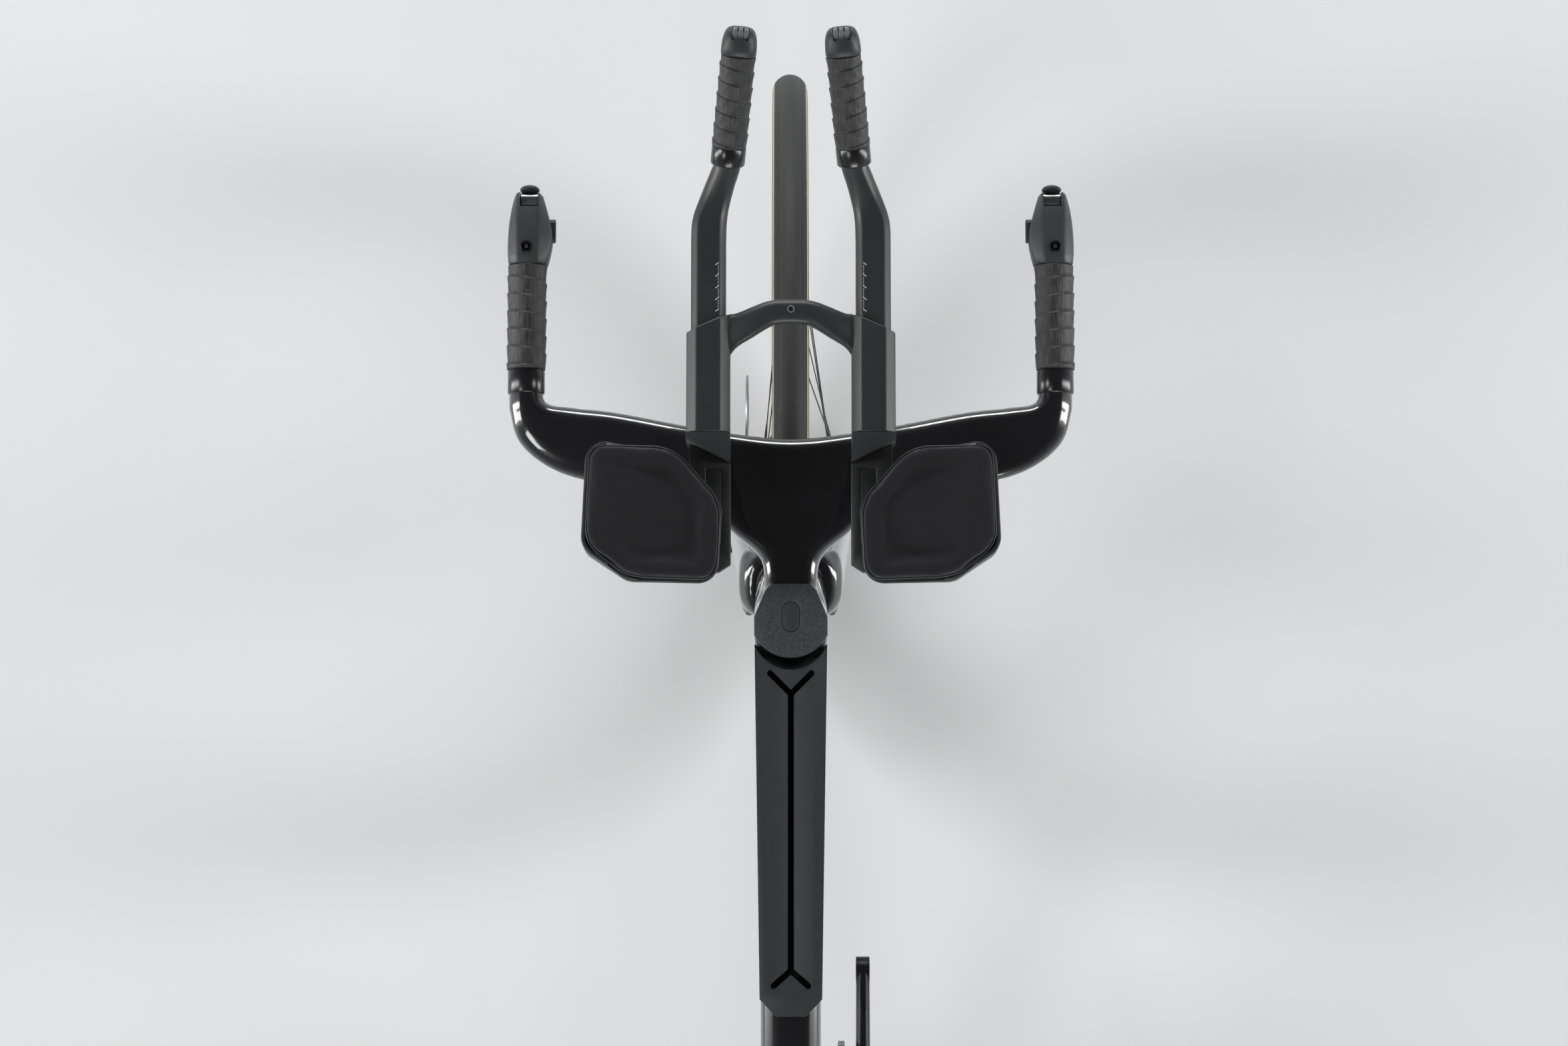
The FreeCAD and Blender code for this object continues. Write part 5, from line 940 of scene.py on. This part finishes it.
# straight run and bent path of the left tube, and its printed scale
extensionSet = {
    "level": 852, "y": 61, "rear": 470, "wide": 25.9, "high": 23.9, "chamfer": 4.4,
    "straight": [(0, 1.6), (0.8, 0), (65, 0), (117, 0)], "narrowFrom": 606, "narrowRun": 48, "narrowBy": 0.17,
    "path": [(588, 61, 852), (600, 61, 852), (612, 60.5, 852.4), (622, 58.5, 853.9), (632, 55.3, 857.1),
             (643, 51.2, 862.3), (654, 47, 868), (666, 45.6, 874.3), (690, 42.9, 887), (728, 38.6, 906.9)],
    "marks": 21, "markStart": 545, "markStep": 1.75, "markEdge": 53.4, "markTop": 863.95, "markHalf": 0.32,
    "dotWide": 0.5, "dashWide": 2.4, "dashSlant": 0.85,
}
squareCorners = ((1, 1), (-1, 1), (-1, -1), (1, -1))


def buildExtensions(s):
    rings = [facetRing((s["rear"] + run, s["y"], s["level"]), axisY, axisZ, s["wide"] - trim, s["high"] - trim,
                       s["chamfer"]) for run, trim in s["straight"]]
    path = glide(s["path"], 4)[1:]
    for k, place in enumerate(path):
        ahead = Vector(path[min(k + 1, len(path) - 1)]) - Vector(path[max(k - 1, 0)])
        share = min(max((place[0] - s["narrowFrom"]) / s["narrowRun"], 0), 1)
        share = share * share * (3 - 2 * share)
        high = Vector((-ahead.z, 0, ahead.x)).normalized()
        wideDir = high.cross(ahead).normalized()
        size = 1 - s["narrowBy"] * share
        rings.append(facetRing(place, wideDir, high, s["wide"] * size, s["high"] * size, s["chamfer"] * size, share,
                               1.6 + share))
    tube = skinned(rings)
    dots, dashes = [k for k in range(s["marks"]) if k % 5], range(0, s["marks"], 5)
    for side, turn in bothSides:
        made(side + "ExtensionTube", [turn(tube)], "extension_" + side[0], "satin_carbon", "extension_" + side,
             sharp=50)
    for (side, turn), flip in zip(bothSides, (1, -1)):
        body = "extension_" + side[0]
        for kind, wide, slant, spots in (("Dots", s["dotWide"], 0, dots),
                                         ("Dashes", s["dashWide"], s["dashSlant"], dashes)):
            outline = [(a * s["markHalf"] - b * slant * flip, b * wide / 2) for a, b in squareCorners]
            mark = joinedForms("mark", [skinned([[Vector((x, y, z)) for x, y in outline] for z in (-0.3, 0.04)])])
            y = flip * (s["markEdge"] + wide / 2)
            places = [((s["markStart"] + s["markStep"] * k, y, s["markTop"]), (0, 0, 0)) for k in spots]
            scale = repeated(side + "Scale" + kind, mark, places, "pale_print")
            dressed(scale, body, "satin_carbon", finish="pale_print")


buildExtensions(extensionSet)

# bridge: sleeve rows of x, trim and slant, arch rows of y, front, back, top and foot from the middle outwards
bridgeSet = {
    "level": 852, "y": 61, "wide": 32.4, "high": 30.4, "chamfer": 7.0,
    "bore": (26.2, 24.2, 4.5), "boreRun": (440, 570),
    "sleeve": [(454, 1.0, 0), (454.8, 0, 0), (500, 0, 0), (528.2, 0, 14), (529, 1.0, 14)],
    "arch": [(0, 553.4, 535.3, 866.8, 853.8), (6, 553.4, 535.2, 866.8, 853.8), (13, 553.0, 534.2, 866.8, 853.8),
             (20, 551.4, 530.6, 866.5, 853.8), (28, 548.4, 525.6, 865.8, 853.4), (36, 545.2, 521.0, 864.4, 852.6),
             (41, 543.5, 517.4, 863.2, 852), (44.6, 543.3, 512.8, 862.2, 851.4), (49, 542.0, 508.6, 861.4, 851),
             (55, 539.5, 505, 861.2, 851)],
    "screwFoot": Vector((545.6, 0, 862.2)), "screwHole": (10, 3.5), "sharp": 32,
    "screw": [(0, 3.4), (3.6, 3.4), (4.2, 3.0), (4.2, 1.9), (1.4, 1.8)],
}


def buildBridge(s):
    sleeves, cuts = [], []
    for side in (1, -1):
        rings = []
        for x, trim, slant in s["sleeve"]:
            ring = facetRing((x, s["y"] * side, s["level"]), axisY, axisZ, s["wide"] - trim, s["high"] - trim,
                             s["chamfer"], 0, 1.2)
            rings.append([p + axisX * slant * (0.5 - (p.y * side - s["y"]) / s["wide"]) for p in ring])
        sleeves.append(skinned(rings))
        cuts.append(skinned([facetRing((x, s["y"] * side, s["level"]), axisY, axisZ, *s["bore"])
                             for x in s["boreRun"]]))
    cuts.append(rod(s["screwFoot"], axisZ, *s["screwHole"], 32))
    half = [((tip + back) / 2, y, (top + foot) / 2, tip - back, top - foot, 2.7, 0)
            for y, tip, back, top, foot in s["arch"]]
    rows = [(x, -y, *rest) for x, y, *rest in half[:0:-1]] + half
    piece = joinedForms("bridgeSkin", [tubeForm(rows, axisX, axisZ, 5, 48)], softEdge)
    carved(piece, sleeves, s["sharp"], "UNION")
    dressed(carved(piece, cuts, s["sharp"]), "steering", "satin_carbon", "extension_bridge")
    # the screw's light grey moulded colour stands for the shine of bright steel: painted highlight
    screw = turnedForm(s["screwFoot"], axisZ, s["screw"], 36)
    made("bridgeScrew", [screw], "steering", "black_alloy", finish="button_grey")


buildBridge(bridgeSet)
print("extensions and bridge built")

# hard pieces: CAD nodes and by how many millimetres their edges are broken
easedWidths = {
    "extension_clamps": 1.2, "pad_rails": 0.9, "pad_cups": 0.9, "storage_box": 1.0, "storage_lid": 0.7,
    "stem_cover": 0.9, "cover_plug": 0.6, "brake_lever_left": 1.2, "brake_lever_right": 1.2, "bar_button_left": 0.7,
    "bar_button_right": 0.7, "front_caliper": 1.6, "rear_caliper": 1.6, "front_axle": 0.6, "rear_axle": 0.6,
    "frame_bearings": 0.4, "crank_right": 1.6, "crank_left": 1.6, "chainring": 0.25, "cassette": 0.2,
    "derailleur_hanger": 1.0, "derailleur_base": 1.2, "derailleur_outer_link": 1.0, "derailleur_inner_link": 1.0,
    "derailleur_knuckle": 1.2, "derailleur_cage": 0.5, "upper_pulley": 0.4, "lower_pulley": 0.4, "saddle_clamp": 1.5,
    "saddle_rails": 0.8, "saddle_shell": 1.5,
}


def camel(nodeName):
    first, *rest = nodeName.split("_")
    return first + "".join(part.capitalize() for part in rest) + "Eased"


for nodeName, width in easedWidths.items():
    easedNode(camel(nodeName), nodeName, width)
print("hard pieces eased:", len(easedWidths))

# bright pins and ring screws that show on the bars
leverPivot = Vector((645.5, 198.6, 783))
fittingSet = {
    "pinHalf": 9.6, "pin": [(0, 1.9), (0.4, 2.4), (18.8, 2.4), (19.2, 1.9)], "ringFoot": Vector((606.3, 200, 799.0)),
    "ring": [(0, 4.6), (1.9, 4.6), (2.3, 4.2), (2.3, 3.0), (1.2, 2.8), (1.2, 1.6), (0.5, 1.5)],
}


def buildFittings(s):
    pin = turnedForm(leverPivot - axisY * s["pinHalf"], axisY, s["pin"], 24)
    ring = turnedForm(s["ringFoot"], axisZ, s["ring"], 36)
    for form, name, finish in ((pin, "leverPins", "bright_steel"), (ring, "leverScrews", "black_alloy")):
        made(name, paired(form), "steering", "black_alloy", finish=finish)


buildFittings(fittingSet)

# pods on the tips of the extensions: run along the grip and share of the radius, rib ends as run and trim
podSet = {
    "start": Vector((728, 38.5, 907)), "radius": 12.4,
    "levels": [(0, 1.0), (0.7, 1.06), (5, 1.06), (10, 1.03), (14, 0.96), (16.6, 0.87), (18.2, 0.76), (19, 0.62)],
    "pocket": (12.8, 13.0), "pocketUp": 5.4, "pocketEnds": [(9.6, 0), (26, 0)],
    "rib": (3.95, 10.2), "ribUp": 4.6, "ribShifts": (-4.15, 0, 4.15),
    "ribEnds": [(11.2, 0.9), (11.8, 0.3), (12.6, 0), (17.8, 0), (19.4, 0.5), (20.2, 1.4)],
}


def buildPods(s):
    line = gripTape["line"].normalized()
    up = Vector((-line.z, 0, line.x)).normalized()
    side = up.cross(line).normalized()
    wide = 2 * s["radius"]
    pod = skinned([ringAt(s["start"] + line * run, side, up, wide * size, wide * size, 2.9, 0, 48)
                   for run, size in s["levels"]])

    def blockAt(shift, rise, size, levels):
        rings = []
        for run, trim in levels:
            corners = [(a * (size[0] / 2 - trim), b * (size[1] / 2 - trim)) for a, b in squareCorners]
            loop = softLoop(corners, min(1.6, size[0] * 0.2), 5)
            rings.append([s["start"] + line * run + side * (shift + p.x) + up * (rise + p.y) for p in loop])
        return skinned(rings)

    pocket = blockAt(0, s["pocketUp"], s["pocket"], s["pocketEnds"])
    ribs = [blockAt(shift, s["ribUp"], s["rib"], s["ribEnds"]) for shift in s["ribShifts"]]
    for name, turn in bothSides:
        shell, button = "shifter_" + name, "shift_button_" + name
        piece = carved(joinedForms(name + "Pod", [turn(pod)]), [turn(pocket)])
        dressed(piece, "extension_" + name[0], slotOf[shell], shell)
        made(name + "PodButton", [turn(form) for form in ribs], "shift_" + name[0], slotOf[button], button,
             finish="button_grey")


buildPods(podSet)

# lever bodies: place along the bar, reach outwards and inwards from the middle, top and foot;
# nose rows of y, back, tip and height; slot, button and bar room as box sides
leverSet = {
    "middle": 199.4, "topHalf": 8.4, "drop": 7.4, "soft": 2.6, "edge": 1.4, "slotHalf": 6.9,
    "barRoom": (Vector((580, 200, 785)), 20.3, 13.1), "pinRoom": (2.7, 30), "farX": 665, "slotBack": 7.5,
    "footBack": 32, "footDrop": 6, "button": (611.8, 630.2, 170, 190.4, 779.8, 788.2), "barrel": (5.65, 6.5),
    "rows": [(594, 14.0, 14.0, 799.4, 769), (595, 14.6, 14.8, 800, 768.4), (601, 15.2, 16.4, 800.2, 768),
             (608, 15.3, 17.9, 800.2, 768), (615, 15.1, 18.6, 800, 768), (622, 14.7, 18.1, 799.6, 768.4),
             (629, 14.0, 16.4, 798.8, 769.2), (637, 12.9, 14.2, 797.4, 770.6), (644, 11.4, 12.2, 795.6, 772.4),
             (648, 10.2, 10.7, 794.2, 774.6), (649.6, 9.0, 9.4, 793, 776.4), (650, 8.2, 8.6, 791.6, 778)],
    "nose": [(-7.3, 652.3, 653.5, 5), (-6.5, 651.5, 654.6, 8.6), (-4.2, 650.6, 656.0, 11.2), (0, 650.4, 656.8, 12),
             (4.2, 650.6, 656.0, 11.2), (6.5, 651.5, 654.6, 8.6), (7.3, 652.3, 653.5, 5)],
}


def boxForm(x0, x1, y0, y1, z0, z1):
    return skinned([[Vector((x, y, z)) for y, z in ((y0, z0), (y1, z0), (y1, z1), (y0, z1))] for x in (x0, x1)])


def leverForm(s):
    rings = []
    for x, out, inward, top, foot in s["rows"]:
        flat, drop = min(s["topHalf"], out - s["edge"], inward - s["edge"]), min(s["drop"], (top - foot) / 3)
        corners = [(out, top - drop), (flat, top), (-flat, top), (-inward, top - drop), (-inward, foot + drop),
                   (-flat, foot), (flat, foot), (out, foot + drop)]
        rings.append([Vector((x, s["middle"] + p.x, p.y)) for p in softLoop(corners, s["soft"], 5)])
    return skinned(rings)


def buildLevers(s):
    p, half = leverPivot, s["slotHalf"]
    (start, long, room), (radius, wide) = s["barRoom"], s["barrel"]
    cuts = [rod(start, axisX, long, room),
            boxForm(p.x - s["slotBack"], s["farX"], p.y - half, p.y + half, 700, 900),
            boxForm(p.x - s["footBack"], s["farX"], p.y - half, p.y + half, 700, p.z - s["footDrop"]),
            barThrough(p, axisY, *s["pinRoom"], 28), boxForm(*s["button"])]
    body = leverForm(s)
    piece = joinedForms("leverBodies", [turn(body) for name, turn in bothSides], 30)
    carved(piece, [turn(cut) for name, turn in bothSides for cut in cuts])
    # the lever bodies take the lightened plastic, a painted highlight on their tops
    dressed(piece, "steering", slotOf["lever_bodies"], "lever_bodies", finish="lever_plastic")
    rows = [((back + tip) / 2, p.y + y, p.z + 1, tip - back, high, 2.3, 0) for y, back, tip, high in s["nose"]]
    cap = tubeForm(rows, axisX, axisZ, 4, 28)
    stations = [(0, radius - 0.4), (0.4, radius), (2 * wide - 0.4, radius), (2 * wide, radius - 0.4)]
    barrel = turnedForm(p - axisY * wide, axisY, stations)
    for name, turn in bothSides:
        body, slotName = "brake_" + name[0], slotOf["brake_lever_" + name]
        made(name + "LeverNose", [turn(cap)], body, slotName, sharp=softEdge)
        made(name + "LeverBarrel", [turn(barrel)], body, slotName, finish="bright_steel")


buildLevers(leverSet)


# socket screws set where a straight look along a direction meets a CAD node; heads as run and share of the radius
boltHead = [(0, 1), (1.5, 1), (1.9, 0.88), (1.9, 0.55), (0.9, 0.5)]
boltSet = {"ring": 51, "ringRadius": 3.6, "ringCount": 5, "capRadius": 9.0, "away": axisY * 160, "sink": 0.6}
ringPlaces = [crankAxle + turned(2 * math.pi * k / boltSet["ringCount"], boltSet["ring"])
              for k in range(boltSet["ringCount"])]
bolts = [  # name, node, places in the plane of the wheels, side to look from, radius, finish
    ("ringBolts", "crank_right", ringPlaces, -1, boltSet["ringRadius"], "black_alloy"),
    ("crankCapRight", "crank_right", [crankAxle], -1, boltSet["capRadius"], "black_alloy"),
    ("crankCapLeft", "crank_right", [crankAxle], 1, boltSet["capRadius"], "black_alloy"),
    ("frontCaliperBolts", "front_caliper", [(438, 0, 376), (455, 0, 396)], 1, 2.6, "bright_steel"),
    ("rearCaliperBolts", "rear_caliper", [(-441, 0, 354), (-425, 0, 373)], 1, 2.6, "bright_steel"),
    ("pulleyBolts", "derailleur_cage", [(-492, 0, 242), (-468.2, 0, 153.1)], -1, 3.0, "bright_steel"),
    ("hangerBolt", "derailleur_base", [(-514, 0, 308)], -1, 4.2, "black_alloy"),
]


def boltsOn(s, name, nodeName, places, side, radius, finish):
    mesh = frame["nodes"][nodeName].data
    tree = BVHTree.FromPolygons([v.co for v in mesh.vertices], [p.vertices for p in mesh.polygons])
    spots = []
    for place in places:
        hit = tree.ray_cast((Vector(place) + s["away"] * side) * mm, axisY * -side)[0]
        if hit:
            spots.append((hit / mm, facing(axisY * side, axisX)))
    head = turnedForm(axisZ * -s["sink"], axisZ, [(run, radius * share) for run, share in boltHead], 20)
    bolt = joinedForms(name + "Bolt", [head])
    dressed(repeated(name, bolt, spots, finish), bodyOf[nodeName], slotOf[nodeName], finish=finish)


for row in bolts:
    boltsOn(boltSet, *row)
print("fittings added")

# seatpost: rises along the seat line and how much the section is trimmed there
postSet = {"rows": [(389.8, 2), (390.8, 0), (560, 0), (686, 0), (687, 2)], "length": 44, "width": 22}


def buildPost(s):
    rows = [(*(crankAxle + seatUp * rise), s["length"] - trim, s["width"] - trim, 2.3, 0) for rise, trim in s["rows"]]
    made("postSkin", [tubeForm(rows, seatAhead, axisY, 1)], "seat", "gloss_carbon", "seatpost")


# a soft pad: a closed form is remeshed, blown up as cloth between held edges and smoothed
clothSet = {"pressure": 4.0, "steps": 20, "passes": 2}


def puffed(piece, voxel, cap, heldBelow):
    settled(remeshed(piece, voxel, clothSet["passes"]), softEdge)
    held = piece.vertex_groups.new(name="held")
    held.add([v.index for v in piece.data.vertices if v.co.z < heldBelow * mm], 1.0, "REPLACE")
    before = [v.co.copy() for v in piece.data.vertices]
    cloth = piece.modifiers.new("cloth", "CLOTH")
    cloth.settings.use_pressure, cloth.settings.uniform_pressure_force = True, clothSet["pressure"]
    cloth.settings.effector_weights.gravity = 0
    cloth.settings.vertex_group_mass = "held"
    for step in range(1, clothSet["steps"] + 1):
        scene.frame_set(step)
    settled(piece, softEdge)
    scene.frame_set(1)
    for vertex, start in zip(piece.data.vertices, before):
        move = vertex.co - start
        if move.length > cap * mm:
            vertex.co = start + move.normalized() * cap * mm
    fine = piece.modifiers.new("fine", "SUBSURF")
    fine.levels = fine.render_levels = 1
    return settled(piece, softEdge)


# arm pads: levels as size about the middle and height; the top is hollowed for the forearm
armPadSet = {
    "corners": [(441.9, 146.6), (436, 86.9), (399.7, 54.7), (345.5, 57), (348, 118.1), (368, 149)], "radius": 13,
    "levels": [(0.95, 862.0), (0.965, 868), (1.02, 872), (1.05, 877), (1.055, 882), (1.04, 886), (1.0, 888.4),
               (0.94, 889.2), (0.86, 888.6), (0.72, 887.6), (0.52, 887.2), (0.28, 887.0)],
    "hollow": 8.5, "hollowY": 92, "hollowHalf": 46, "hollowAbove": 886, "hollowEdge": 0.97, "hollowFade": 0.22,
    "plainFrom": 122, "plainRun": 12, "held": 870, "weltLevel": 4, "weltOut": 0.6, "weltWide": 1.5,
    "voxel": 3.6, "cap": 5.0,
}


def buildArmPads(s):
    loop = softLoop(s["corners"], s["radius"])
    middle = sum(loop, Vector((0, 0))) / len(loop)
    rings = []
    for size, level in s["levels"]:
        fade = min(max((s["hollowEdge"] - size) / s["hollowFade"], 0), 1) * (level > s["hollowAbove"])
        ring = []
        for p in loop:
            outboard = min(max((p.y - s["plainFrom"]) / s["plainRun"], 0), 1)
            grown = min(size, 1.0) + max(size - 1.0, 0) * (1 - outboard)
            q = middle + (p - middle) * grown
            dip = s["hollow"] * max(1 - ((q.y - s["hollowY"]) / s["hollowHalf"]) ** 2, 0) * fade
            ring.append(Vector((q.x, q.y, level - dip)))
        rings.append(ring)
    form = skinned(rings)
    cushions = joinedForms("armPadCushions", paired(form), softEdge)
    piece = puffed(cushions, s["voxel"], s["cap"], s["held"])
    dressed(piece, "steering", "pad_fabric", "arm_pads")
    edge = rings[s["weltLevel"]]
    beads = []
    for k, p in enumerate(edge):
        ahead = (edge[(k + 1) % len(edge)] - edge[k - 1]).normalized()
        spot = p + (p - Vector((*middle, p.z))).normalized() * s["weltOut"]
        beads.append(ringAt(spot, ahead.cross(axisZ), axisZ, s["weltWide"], s["weltWide"], 2.0, 0.0, 8))
    points, faces = skinned(beads + [beads[0]])
    welt = points, faces[2:]
    made("armPadWelts", paired(welt), "steering", "pad_fabric", finish="satin_carbon", sharp=softEdge)


saddlePadSet = {"voxel": 4.5, "cap": 5.0, "shrink": 1.2, "base": 2, "held": 4}


def buildSaddlePad(s):
    mesh = frame["nodes"]["saddle_pad"].data.copy()
    piece = linked("saddleCushion", mesh, softEdge)
    low = min(v.co.z for v in mesh.vertices)
    for vertex in mesh.vertices:
        if vertex.co.z > low + s["base"] * mm:
            vertex.co -= vertex.normal * s["shrink"] * mm
    puffed(piece, s["voxel"], s["cap"], low / mm + s["held"])
    dressed(piece, "seat", "saddle_cover", "saddle_pad")


buildPost(postSet)
buildArmPads(armPadSet)
buildSaddlePad(saddlePadSet)
print("post and pads built")


# chain: links found from the CAD plates, inner and outer in turn
chainSet = {"pitch": 12.7, "y": -44.6, "inner": 2.5, "thick": 0.65, "gap": 0.1, "high": 8.2, "waist": 0.8,
            "roller": 3.7, "pin": 1.8, "pinProud": 0.2, "endSteps": 10, "endSweep": 1.12, "shortest": 15}


def plateForm(s, y):
    half, waist = s["pitch"] / 2, s["high"] / 2
    outline = []
    for end in (1, -1):
        for k in range(s["endSteps"] + 1):
            angle = (k / s["endSteps"] - 0.5) * math.pi * s["endSweep"]
            outline.append((end * (half + math.cos(angle) * waist), end * math.sin(angle) * waist))
        outline.append((0, end * waist * s["waist"]))
    return skinned([[Vector((a, level, b)) for a, b in outline] for level in (y, y + s["thick"])])


# the points of each separate shell of a mesh, in millimetres
def shellsOf(mesh):
    work = bmesh.new()
    work.from_mesh(mesh)
    bmesh.ops.remove_doubles(work, verts=work.verts, dist=2 * weld)
    seen, shells = set(), []
    for start in work.verts:
        if start in seen:
            continue
        shell, front = [], [start]
        seen.add(start)
        while front:
            vertex = front.pop()
            shell.append(vertex.co / mm)
            for edge in vertex.link_edges:
                other = edge.other_vert(vertex)
                if other not in seen:
                    seen.add(other)
                    front.append(other)
        shells.append(shell)
    work.free()
    return shells


def linkSpots(s):
    spots = {"inner": [], "outer": []}
    for shell in shellsOf(frame["nodes"]["chain"].data):
        centre = sum(shell, Vector()) / len(shell)
        first = max(shell, key=lambda p: (p - centre).length)
        second = max(shell, key=lambda p: (p - first).length)
        run = Vector((second.x - first.x, 0, second.z - first.z))
        off = centre.y - s["y"]
        if off > 1.0 and run.length > s["shortest"]:
            kind = "outer" if off > s["inner"] / 2 + s["thick"] else "inner"
            spots[kind].append((Vector((centre.x, s["y"], centre.z)), facing(run.cross(axisY), run)))
    return spots


def buildChain(s):
    spots, half = linkSpots(s), s["inner"] / 2
    out = half + s["thick"] + s["gap"]
    pinHalf = out + s["thick"] + s["pinProud"]
    inner = [plateForm(s, half), plateForm(s, -half - s["thick"])]
    outer = [plateForm(s, out), plateForm(s, -out - s["thick"])]
    for end in (s["pitch"] / 2, -s["pitch"] / 2):
        inner.append(barThrough((end, 0, 0), axisY, s["roller"], half, 16))
        outer.append(barThrough((end, 0, 0), axisY, s["pin"], pinHalf, 12))
    for kind, forms in (("inner", inner), ("outer", outer)):
        piece = repeated(kind + "Links", joinedForms(kind + "Link", forms), spots[kind], "chain_steel")
        dressed(piece, "frame", "chain_steel", *(["chain"] if kind == "inner" else []))
    print("chain links:", len(spots["inner"]), len(spots["outer"]))


buildChain(chainSet)
